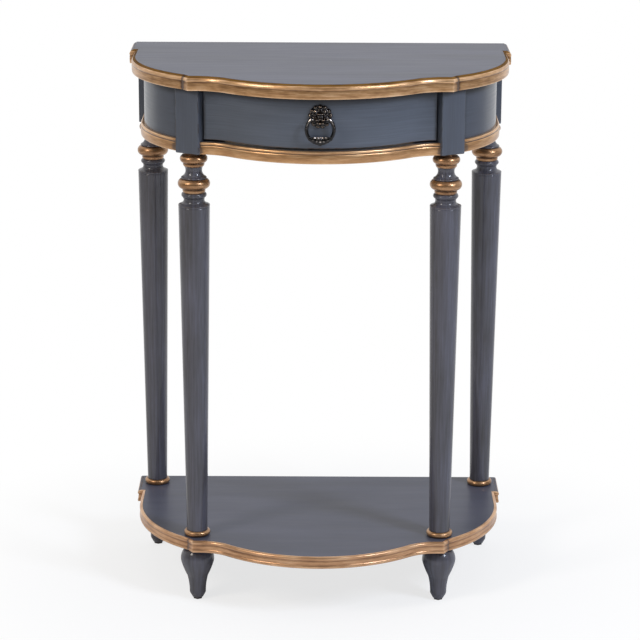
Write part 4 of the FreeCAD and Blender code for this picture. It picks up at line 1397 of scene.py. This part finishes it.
@dataclass
class Legs:
    """Turned legs with their square blocks, and the turned feet under the shelf."""

    plan: Plan
    softened: float = 1.3
    edge_wear: float = 0.55
    foot_bottom: float = 2.5

    def leg_section(self) -> Section:
        """Gilt cove, bead and fillet, neck, gilt torus and fillet, ring, scotia, scribed column, gilt ring.

        Returns:
            The open section, from the block down.
        """
        gilt = Coat.SECOND
        z, shelf = self.plan.apron_bottom, self.plan.shelf
        pen = Pen(14.6, z).arc((15.2, z - 3.0), (17.6, z - 4.6), gilt, 8).line(17.2, z - 5.0, gilt)
        pen.arc((21.0, z - 10.6), (17.0, z - 16.2), gilt, 18).line(16.0, z - 16.6, gilt)
        pen.arc((16.3, z - 19.2), (15.2, z - 21.8), gilt, 8).line(14.4, z - 22.2)
        pen.arc((12.6, z - 27.6), (18.4, z - 38.4), count=18)
        pen.arc((19.5, z - 39.4), (19.3, z - 40.6), count=5).line(18.6, z - 41.2)
        pen.arc((24.6, z - 49.0), (18.4, z - 56.6), gilt, 22).line(17.3, z - 57.0, gilt)
        pen.arc((17.4, z - 60.0), (16.7, z - 62.8), gilt, 8).line(17.2, z - 63.2)
        pen.arc((19.3, z - 66.5), (17.6, z - 69.8), count=10)
        pen.arc((15.8, z - 74.2), (21.0, z - 80.2), count=14).line(23.4, z - 81.4)
        pen.arc((23.9, z - 81.7), (24.0, z - 82.3), count=4).line(23.95, z - 84.4)
        pen.line(23.6, z - 84.8).line(23.9, z - 85.3)
        pen.line(16.1, shelf + 9.2).line(15.7, shelf + 8.9)
        pen.arc((20.6, shelf + 4.5), (16.0, shelf + 0.1), gilt, 16).line(15.9, shelf, gilt)
        return pen.section(closed=False)

    def foot_section(self) -> Section:
        """Short neck, bulb, hollow taper and a chamfered toe.

        Returns:
            The open section, from the shelf down.
        """
        top, low = self.plan.shelf_underside, self.foot_bottom
        pen = Pen(17.0, top).line(17.4, top - 2.4).arc((25.4, top - 14.0), (25.7, top - 26.0), count=18)
        pen.arc((21.6, top - 38.0), (16.6, top - 49.0), count=16)
        pen.arc((14.2, top - 60.0), (12.8, low + 9.5), count=12)
        pen.arc((12.4, low + 7.6), (11.6, low + 6.0), count=5).line(8.5, low + 0.4).line(8.0, low)
        return pen.section(closed=False)

    def block(self, surface: Surface, axis: Array, angle: float) -> None:
        """Adds a square block with softened arrises.

        Rings of a rounded square are drawn in by a quarter round at the lower edge.

        Args:
            surface: Where the grid goes.
            axis: Plan place of the leg.
            angle: Turn of the block in degrees.
        """
        half, soft = self.plan.block_side / 2, self.softened
        loop = rounded_rectangle((-half, half), (-half, half), soft)
        steps = np.roll(loop.points[:-1], -1, axis=0) - np.roll(loop.points[:-1], 1, axis=0)
        steps /= np.linalg.norm(steps, axis=1, keepdims=True)
        outward = np.stack([-steps[:, 1], steps[:, 0]], axis=-1)
        outward = np.concatenate([outward, outward[:1]])
        quarter = np.linspace(0, math.pi / 2, CORNER_CHORDS + 1)[::-1]
        bottom = self.plan.apron_bottom
        above = [bottom + soft + step for step in END_STEPS[1:]] + [self.plan.top_underside]
        plain = np.zeros(len(above))
        levels = np.concatenate([bottom + soft * (1 - np.sin(quarter)), above])
        drawn_in = np.concatenate([soft * (1 - np.cos(quarter)), plain])
        worn = self.edge_wear * np.concatenate([np.sin(2 * quarter), plain])
        swing = math.radians(angle)
        spin = np.array([[math.cos(swing), math.sin(swing)], [-math.sin(swing), math.cos(swing)]])
        plan = loop.points - outward * drawn_in[:, None, None]
        points = raised(plan @ spin + axis, levels[:, None])
        grain = np.concatenate([points[..., 2:], plan + axis], axis=-1)
        exposure = np.maximum(loop.exposure(), worn[:, None])
        surface.grid(points, grain, exposure, np.full(len(loop.points) - 1, Coat.THIRD.value))
        surface.ends(points, grain, (Coat.THIRD, Coat.THIRD))

    def build(self, dresser: Dresser) -> None:
        """Makes four legs and four feet.

        Args:
            dresser: What puts them in place.
        """
        looks = dresser.finishes
        leg_looks = [looks.turned_paint, looks.turned_gilt, looks.block_paint]
        for hand in Hand:
            flip = np.array([hand.value, 1.0])
            rows = (("front", self.plan.front_leg * flip, self.plan.block_turn * hand.value),
                    ("rear", self.plan.rear_leg * flip, 0.0))
            for row, axis, angle in rows:
                node = f"{hand.name.lower()}_{row}"
                surface = Surface()
                turn(surface, axis, self.leg_section())
                self.block(surface, axis, angle)
                leg = surface.build(f"turned_{node}_leg", leg_looks)
                dresser.place(leg, Body.TABLE, Slot.PAINT, f"{node}_leg")
                surface = Surface()
                turn(surface, axis, self.foot_section())
                foot = surface.build(f"turned_{node}_foot", [looks.turned_paint])
                dresser.place(foot, Body.TABLE, Slot.PAINT, f"{node}_foot")


@dataclass
class DrawerFront:
    """Serpentine board of the drawer, painted outside and bare inside."""

    plan: Plan
    low: float = 746.4
    high: float = 820.8
    gap: float = 3.0
    softened: float = 0.9

    def build(self, dresser: Dresser) -> None:
        """Makes the board with softened arrises.

        Args:
            dresser: What puts it in place.
        """
        front, back = self.plan.board_inset, self.plan.board_inset + self.plan.board
        section = rounded_rectangle((front, back), (self.low, self.high), self.softened)
        across = section.points[:, 0]
        inside = across > back - self.softened
        coats = np.where(inside[:-1] & inside[1:], Coat.SECOND.value, Coat.FIRST.value)
        surface = Surface()
        path = self.plan.between_blocks(across, self.gap)
        sweep(surface, path, replace(section, coats=coats), Hand.RIGHT)
        looks = dresser.finishes
        piece = surface.build("painted_drawer_front", [looks.paint, looks.boards[Slot.BARE][0]])
        dresser.place(piece, Body.DRAWER, Slot.PAINT, "drawer_front")


@dataclass(frozen=True)
class Bump:
    """A soft bump of a relief: its height times a bell over an ellipse."""

    height: float
    at: Pair
    wide: Pair

    def depth(self, x: Array, z: Array, side: int = 1) -> Array:
        """Depth of the bump at some places, with its own place on one side of the middle line."""
        across, up = (x - side * self.at[0]) / self.wide[0], (z - self.at[1]) / self.wide[1]
        return self.height * np.exp(-(across**2 + up**2))


@dataclass
class LionMask:
    """Cast lion mask of the pull, with a mane of tufts."""

    # Skull, bridge of the nose, tip of the nose, mouth, chin and the tuft over the brow.
    MIDDLE: ClassVar[tuple[Bump, ...]] = (
        Bump(5.2, (0.0, 0.5), (7.6, 8.6)), Bump(2.0, (0.0, 2.0), (1.7, 4.2)),
        Bump(2.6, (0.0, -1.9), (2.4, 1.5)), Bump(-2.2, (0.0, -7.0), (4.6, 0.8)),
        Bump(2.6, (0.0, -10.2), (4.4, 2.4)), Bump(2.6, (0.0, 15.2), (3.4, 2.8)))
    # Brow, eye socket, eye, muzzle, ear, hollow of the ear and nostril, on both sides.
    PAIRED: ClassVar[tuple[Bump, ...]] = (
        Bump(2.0, (3.5, 5.0), (2.8, 1.4)), Bump(-2.0, (3.6, 2.7), (1.7, 1.1)),
        Bump(1.3, (3.5, 2.6), (0.8, 0.7)), Bump(3.8, (3.0, -4.6), (2.7, 2.4)),
        Bump(2.8, (8.6, 8.4), (2.2, 2.2)), Bump(-1.6, (8.7, 8.2), (1.0, 1.1)),
        Bump(-1.2, (1.1, -2.6), (0.6, 0.6)))
    # Steps round the mask, and its rows as shares of the radius: first, last and how many.
    STEPS_ROUND: ClassVar[int] = 260
    FACE_ROWS: ClassVar[tuple[float, float, int]] = (0.02, 0.9, 60)
    EDGE_ROWS: ClassVar[tuple[float, float, int]] = (0.915, 1.0, 10)
    # Neighbours that a point is compared with, and how strongly that shows as wear.
    MEAN_COLUMNS: ClassVar[int] = 4
    MEAN_ROWS: ClassVar[int] = 3
    RUB_GAIN: ClassVar[float] = 1.6
    SHARP: ClassVar[float] = 80.0
    plan: Plan
    height: float = 795.0
    radius: float = 16.6
    tuft: float = 1.5
    tufts: int = 13
    rim: float = 2.2
    # Mane: where its shoulder begins, then place, run and height of the outer and the inner curls.
    shoulder_share: float = 0.86
    outer_share: float = 0.62
    outer_run: float = 0.2
    outer_curl: float = 1.7
    inner_share: float = 0.6
    inner_run: float = 0.1
    inner_curl: float = 1.3
    ridge: float = 0.18
    ridges_in_tuft: int = 5
    sunk: float = 1.0
    # Axis that the ring hangs on, and the jaw that holds it.
    pivot_drop: float = 3.0
    pivot_depth: float = 9.2
    jaw: float = 7.2
    jaw_side: float = 6.4
    jaw_wide: Pair = (2.2, 3.0)

    @property
    def pivot(self) -> Array:
        """Middle of the axis that the ring hangs on."""
        return np.array([0.0, self.plan.drawer_face_y - self.pivot_depth, self.height - self.pivot_drop])

    def relief(self, x: Array, z: Array) -> Array:
        """Depth of the lion's face over the plate: the sum of its bumps.

        Args:
            x: Places across.
            z: Places up, from the middle of the mask.

        Returns:
            The depth at each place.
        """
        jaw = Bump(self.jaw, (self.jaw_side, -self.pivot_drop), self.jaw_wide)
        sides = [bump.depth(x, z, hand.value) for hand in Hand for bump in (*self.PAIRED, jaw)]
        return sum(bump.depth(x, z) for bump in self.MIDDLE) + sum(sides)

    def standing(self, depth: Array) -> Array:
        """Exposure of each point: its depth over a mean of its neighbours, held between -1 and 1.

        The mean is taken over some columns to both sides, then over three rows some rows apart. The first
        and the last rows stay plain.

        Args:
            depth: Depth at each point, whose last column is the first one again.

        Returns:
            The exposure of each point.
        """
        own, columns, rows = depth[:, :-1], self.MEAN_COLUMNS, self.MEAN_ROWS
        mean = sum(np.roll(own, step, axis=1) for step in range(-columns, columns + 1)) / (2 * columns + 1)
        mean = sum(np.roll(mean, step, axis=0) for step in (rows, -rows, 0)) / 3
        exposure = np.clip((own - mean) * self.RUB_GAIN, -1, 1)
        exposure[:rows] = 0
        exposure[-rows:] = 0
        return np.concatenate([exposure, exposure[:, :1]], axis=1)

    def surface(self) -> Surface:
        """The mask on a polar grid: mane tufts as waves round the edge and an inner ring, over the relief.

        The depth at radius share s and angle a is the rim, plus waves of the tuft count that grow with s,
        plus fine ridges, plus the relief at that place, all drawn down by a round shoulder at the edge.

        Returns:
            The surface.
        """
        angle = np.linspace(0, 2 * math.pi, self.STEPS_ROUND + 1)
        share = np.concatenate([np.linspace(*self.FACE_ROWS), np.linspace(*self.EDGE_ROWS)])[:, None]
        waves = self.tufts * (angle - math.pi / 2) / 2
        wave = np.abs(np.cos(waves))
        radius = (self.radius + self.tuft * wave) * share
        x, z = radius * np.cos(angle), radius * np.sin(angle)
        over = ((share - self.shoulder_share) / (1 - self.shoulder_share)).clip(0, 1)
        shoulder = np.sqrt(np.clip(1 - over**2, 0, 1))
        outer = np.clip((share - self.outer_share) / self.outer_run, 0, 1)
        inner = np.exp(-(((share - self.inner_share) / self.inner_run) ** 2))
        curls = self.outer_curl * outer * wave + self.inner_curl * inner * np.abs(np.sin(waves))
        ridges = self.ridge * np.cos(self.ridges_in_tuft * self.tufts * angle) * outer
        depth = (self.rim + curls + ridges + self.relief(x, z)) * shoulder
        depth = np.concatenate([depth, np.full((1, len(angle)), -self.sunk)])
        x, z = (np.concatenate([grid, grid[-1:]]) for grid in (x, z))
        points = np.stack([x, self.plan.drawer_face_y - depth, z + self.height], axis=-1)
        surface = Surface()
        surface.grid(points, points, self.standing(depth))
        surface.ends(points, points)
        return surface

    def build(self, dresser: Dresser) -> None:
        """Makes the mask."""
        piece = self.surface().build("cast_lion_mask", [dresser.finishes.bronze], self.SHARP)
        dresser.place(piece, Body.DRAWER, Slot.BRONZE, "pull_mask")


@dataclass
class PullRing:
    """Cast ring that hangs in the lion's jaw and swells to a beaded crescent.

    Angles along the ring are in degrees from its lowest point, those round its bar are in radians.
    """

    STEPS_ALONG: ClassVar[int] = 520
    STEPS_ROUND: ClassVar[int] = 40
    PIN_STEPS: ClassVar[int] = 32
    FRONT: ClassVar[float] = 1.5 * math.pi
    SHARP: ClassVar[float] = 60.0
    mask: LionMask
    radius: float = 20.2
    drop: float = 15.2
    bar: float = 2.65
    # Crescent: its swell, the band of beads, the collars at its ends, the beads, the vein and the point.
    swell: float = 2.8
    swell_half_angle: float = 52.0
    band_half_angle: float = 47.0
    band_edge: float = 1.6
    collar: float = 0.8
    collar_angle: float = 48.0
    collar_width: float = 2.6
    bead_waves: int = 10
    bead_round: float = 0.7
    inner_bead: float = 1.5
    front_bead: float = 0.7
    vein: float = 0.45
    vein_waves: float = 4.2
    vein_end: float = 60.0
    relief_share: float = 0.5
    point: float = 0.9
    point_width: float = 6.0
    # Painted sheen as a lighter line of metal along the bar, how it fades down the ring, and the patina left
    # elsewhere and the wear of the beads.
    rub: float = 1.5
    sheen_turn: float = 0.3
    sheen_width: float = 0.45
    sheen_mean: float = 0.45
    sheen_swing: float = 0.8
    sheen_least: float = 0.1
    patina: float = 0.6
    bead_patina: float = 0.75
    bead_rub: float = 1.6
    exposed: Pair = (-0.9, 0.8)
    # Pivot pins: where they begin, further stations from the ends of the bar, and the radius at each.
    pin_start: float = 8.5
    pin_steps: tuple[float, ...] = (-1.2, -0.6, 0.8, 1.8)
    pin_radii: tuple[float, ...] = (1.5, 1.5, 2.2, 2.4, 1.4)

    @property
    def half_opening(self) -> float:
        """Half the distance between the ends of the bar, which lie on the pivot's level."""
        return math.sqrt(self.radius**2 - self.drop**2)

    def surface(self) -> Surface:
        """The ring: a bar bent to a circle that swells inward to a crescent of beads between two collars.

        At angle a from the top the section is an ellipse of the bar's radius in depth and, towards the
        centre, the bar's radius plus a swell that is a parabola of the angle from the bottom. Waves on its
        inner and front sides are the beads and a vein, bells are the collars, and a bell on the outer side
        is the point. The bar is lighter along its outer front, most near the top, as painted sheen; the
        crescent is lighter on its worn beads.

        Returns:
            The surface.
        """
        opening = math.asin(self.half_opening / self.radius)
        along = np.linspace(opening, 2 * math.pi - opening, self.STEPS_ALONG + 1)[:, None]
        around = np.linspace(0, 2 * math.pi, self.STEPS_ROUND + 1)
        outer, inner = np.clip(np.cos(around), 0, 1), np.clip(-np.cos(around), 0, 1)
        front = np.clip(-np.sin(around), 0, 1)
        low = np.degrees(along) - 180
        off = np.abs(low)
        swell = self.swell * np.clip(1 - (low / self.swell_half_angle) ** 2, 0, 1)
        band = 1 / (1 + np.exp((off - self.band_half_angle) / self.band_edge))
        collar = self.collar * np.exp(-(((off - self.collar_angle) / self.collar_width) ** 2))
        bead = np.abs(np.cos(np.radians(low) * self.bead_waves)) ** self.bead_round
        beads = band * bead * (self.inner_bead * inner**2 + self.front_bead * front)
        veined = np.cos(np.cos(around) * self.vein_waves) * (1 - off / self.vein_end)
        vein = self.vein * band * front * veined
        point = self.point * np.exp(-((low / self.point_width) ** 2)) * outer**2
        relief = 1 + (beads + vein + collar) / self.bar * self.relief_share
        reach = self.radius - swell + (self.bar + swell + collar + beads * inner) * np.cos(around) + point
        depth = self.bar * relief * np.sin(around)
        centre = self.mask.pivot - np.array([0.0, 0.0, self.drop])
        points = centre + np.stack([reach * np.sin(along), depth, reach * np.cos(along)], axis=-1)
        # Painted sheen: the bar's metal is lighter along its outer front, most near the top, where the
        # lamps' highlights fall.
        rubbed = np.exp(-(((around - self.FRONT - self.sheen_turn) / self.sheen_width) ** 2))
        sheen_fade = np.clip(self.sheen_mean + self.sheen_swing * np.cos(along), self.sheen_least, 1)
        plain = (1 - band) * (self.rub * rubbed * sheen_fade - self.patina)
        exposure = np.clip(plain + (beads + vein - self.bead_patina * band) * self.bead_rub, *self.exposed)
        surface = Surface()
        surface.grid(points, points, exposure)
        surface.ends(points, points)
        for hand in Hand:
            self.pin(surface, hand)
        return surface

    def pin(self, surface: Surface, hand: Hand) -> None:
        """Adds a pivot pin from the end of the bar to the jaw, with a round shoulder.

        Row t, column j lies at station t along the axis, at that station's radius and the angle of step j.

        Args:
            surface: Where the grid goes.
            hand: Side of the mask.
        """
        place = np.array([self.pin_start] + [self.half_opening + step for step in self.pin_steps])
        rim = circle(np.linspace(0, 2 * math.pi, self.PIN_STEPS + 1))
        round_axis = np.array(self.pin_radii)[:, None, None] * rim
        along = np.broadcast_to(hand.value * place[:, None, None], round_axis.shape[:2] + (1,))
        points = self.mask.pivot + np.concatenate([along, round_axis], axis=-1)
        surface.grid(points, points, np.zeros(points.shape[:2]))
        surface.ends(points, points)

    def build(self, dresser: Dresser) -> None:
        """Makes the ring."""
        piece = self.surface().build("cast_pull_ring", [dresser.finishes.polished_bronze], self.SHARP)
        dresser.place(piece, Body.RING, Slot.BRONZE, "pull_ring")


# Studio


@dataclass(frozen=True)
class SoftBox:
    """A rectangular lamp aimed at a point, in metres and watts."""

    name: str
    at: Triple
    aim: Triple
    size: Pair
    power: float
    colour: str = "FFFFFF"

    def build(self) -> None:
        """Adds the lamp."""
        light = bpy.data.lights.new(self.name, "AREA")
        light.shape = "RECTANGLE"
        light.size, light.size_y = self.size
        light.energy = self.power
        light.color = linear(self.colour)[:3]
        lamp = bpy.data.objects.new(self.name, light)
        lamp.location = self.at
        lamp.rotation_mode = "QUATERNION"
        lamp.rotation_quaternion = (Vector(self.aim) - Vector(self.at)).to_track_quat("-Z", "Y")
        bpy.context.scene.collection.objects.link(lamp)


@dataclass
class Studio:
    """Pale floor, soft lamps, white surroundings and the camera."""

    LAMPS: ClassVar[tuple[SoftBox, ...]] = (
        SoftBox("left_soft_box", (-2.5, -2.0, 2.9), (0.0, 0.0, 0.5), (0.8, 1.4), 58.0, "FFF6EC"),
        SoftBox("right_soft_box", (2.5, -2.0, 2.9), (0.0, 0.0, 0.5), (0.8, 1.4), 104.0, "E4EDFF"),
        SoftBox("overhead_soft_box", (0.0, -0.4, 3.0), (0.0, 0.0, 0.4), (2.4, 2.4), 9.0))
    WHITE: ClassVar[str] = "FFFFFF"
    # Camera: place, turns in radians, focal length and frame in pixels, sensor and how far it sees.
    camera_at: Triple = (-2.9, -3721.6, 1501.9)
    yaw: float = 0.0011
    pitch: float = 0.279
    roll: float = 0.0048
    focal_px: float = 2456.8
    image_px: float = 640.0
    sensor: float = 36.0
    sight: float = 100000.0
    # Floor: size, surface, where its shadow fades to white, and the bearing over which mirrors show it.
    floor_size: float = 60000.0
    floor_colour: str = "FAFAFA"
    floor_roughness: float = 0.9
    floor_specular: float = 0.1
    shadow_fade: Pair = (330.0, 760.0)
    whitened: Pair = (0.74, 1.0)
    sweep_bearing: Pair = (0.42, 0.7)
    # Surroundings: colour, light of the room and of the backdrop, and the bearings where they meet.
    world_colour: str = "F6F8FB"
    room: float = 0.2
    backdrop: float = 0.55
    backdrop_bearing: Pair = (-0.5, 0.4)
    mirrored_bearing: Pair = (-0.1, 0.3)

    def floor(self) -> None:
        """A pale floor with the shadow near the table, plain white further off and in mirrors behind it."""
        shader = Shader("pale_studio_floor")
        pale = shader.add("BsdfPrincipled", {
            "Base Color": linear(self.floor_colour), "Roughness": self.floor_roughness,
            "Specular IOR Level": self.floor_specular})
        place = shader.place_mm()
        reach = shader.add("VectorMath", (place,), operation="LENGTH").outputs["Value"]
        share = shader.add("MapRange", (reach, *self.shadow_fade, *self.whitened), **SMOOTH)
        bearing = shader.add("VectorMath", (place,), operation="NORMALIZE")
        back = shader.add("SeparateXYZ", (bearing,)).outputs["Y"]
        behind = shader.add("MapRange", (back, *self.sweep_bearing), **SMOOTH)
        seen = shader.add("Math", (share, shader.shown(behind)), operation="MULTIPLY")
        white = shader.add("Emission", {"Color": linear(self.WHITE), "Strength": 1.0})
        shader.add("OutputMaterial", {"Surface": shader.add("MixShader", (seen, pale, white))})
        half = self.floor_size / 2 * MM
        corners = [(-half, -half, 0), (half, -half, 0), (half, half, 0), (-half, half, 0)]
        mesh = bpy.data.meshes.new("studio_floor")
        mesh.from_pydata(corners, [], [(0, 1, 2, 3)])
        mesh.materials.append(shader.material)
        floor = bpy.data.objects.new("studio_floor", mesh)
        bpy.context.scene.collection.objects.link(floor)

    def world(self) -> None:
        """A white backdrop to the eye and in reflections, and as light; the room in front is dimmer."""
        world = bpy.data.worlds.new("studio")
        world.use_nodes = True
        nodes = Nodes(world.node_tree)
        direction = nodes.add("TexCoord").outputs["Generated"]
        ahead = nodes.add("SeparateXYZ", (direction,)).outputs["Y"]
        level = nodes.add("MapRange", (ahead, *self.backdrop_bearing, self.room, self.backdrop), **SMOOTH)
        light = nodes.add("Background", {"Color": linear(self.world_colour), "Strength": level})
        white = nodes.add("Background", {"Color": linear(self.WHITE)})
        mirrored = nodes.add("MapRange", (ahead, *self.mirrored_bearing), **SMOOTH)
        mixed = nodes.add("MixShader", (nodes.shown(mirrored), light, white))
        nodes.add("OutputWorld", {"Surface": mixed})
        bpy.context.scene.world = world

    def camera(self) -> None:
        """The camera fitted to the photograph: turned by yaw and pitch, rolled about its line of sight."""
        data = bpy.data.cameras.new("camera")
        data.sensor_width = self.sensor
        data.lens = self.focal_px / self.image_px * self.sensor
        data.clip_end = self.sight * MM
        run = math.cos(self.pitch)
        forward = Vector((math.sin(self.yaw) * run, math.cos(self.yaw) * run, -math.sin(self.pitch)))
        level = Vector((math.cos(self.yaw), -math.sin(self.yaw), 0))
        upright = level.cross(forward)
        right = level * math.cos(self.roll) + upright * math.sin(self.roll)
        up = upright * math.cos(self.roll) - level * math.sin(self.roll)
        facing = Matrix((right, up, -forward)).transposed().to_4x4()
        camera = bpy.data.objects.new("camera", data)
        camera.matrix_world = Matrix.Translation(Vector(self.camera_at) * MM) @ facing
        bpy.context.scene.collection.objects.link(camera)
        bpy.context.scene.camera = camera

    def build(self) -> None:
        """Sets the whole studio."""
        self.floor()
        for lamp in self.LAMPS:
            lamp.build()
        self.world()
        self.camera()
        bpy.context.scene.view_settings.view_transform = "Standard"


def main() -> None:
    """Builds every piece in order."""
    logging.basicConfig(level=logging.INFO, format="%(name)s: %(message)s")
    plan = Plan()
    mask = LionMask(plan)
    dresser = Dresser(Finishes())
    dresser.dress()
    groups = (Panels(plan), Mouldings(plan), Aprons(plan), Legs(plan), DrawerFront(plan), mask,
              PullRing(mask))
    for group in groups:
        group.build(dresser)
    Studio().build()


if __name__ == "__main__":
    main()
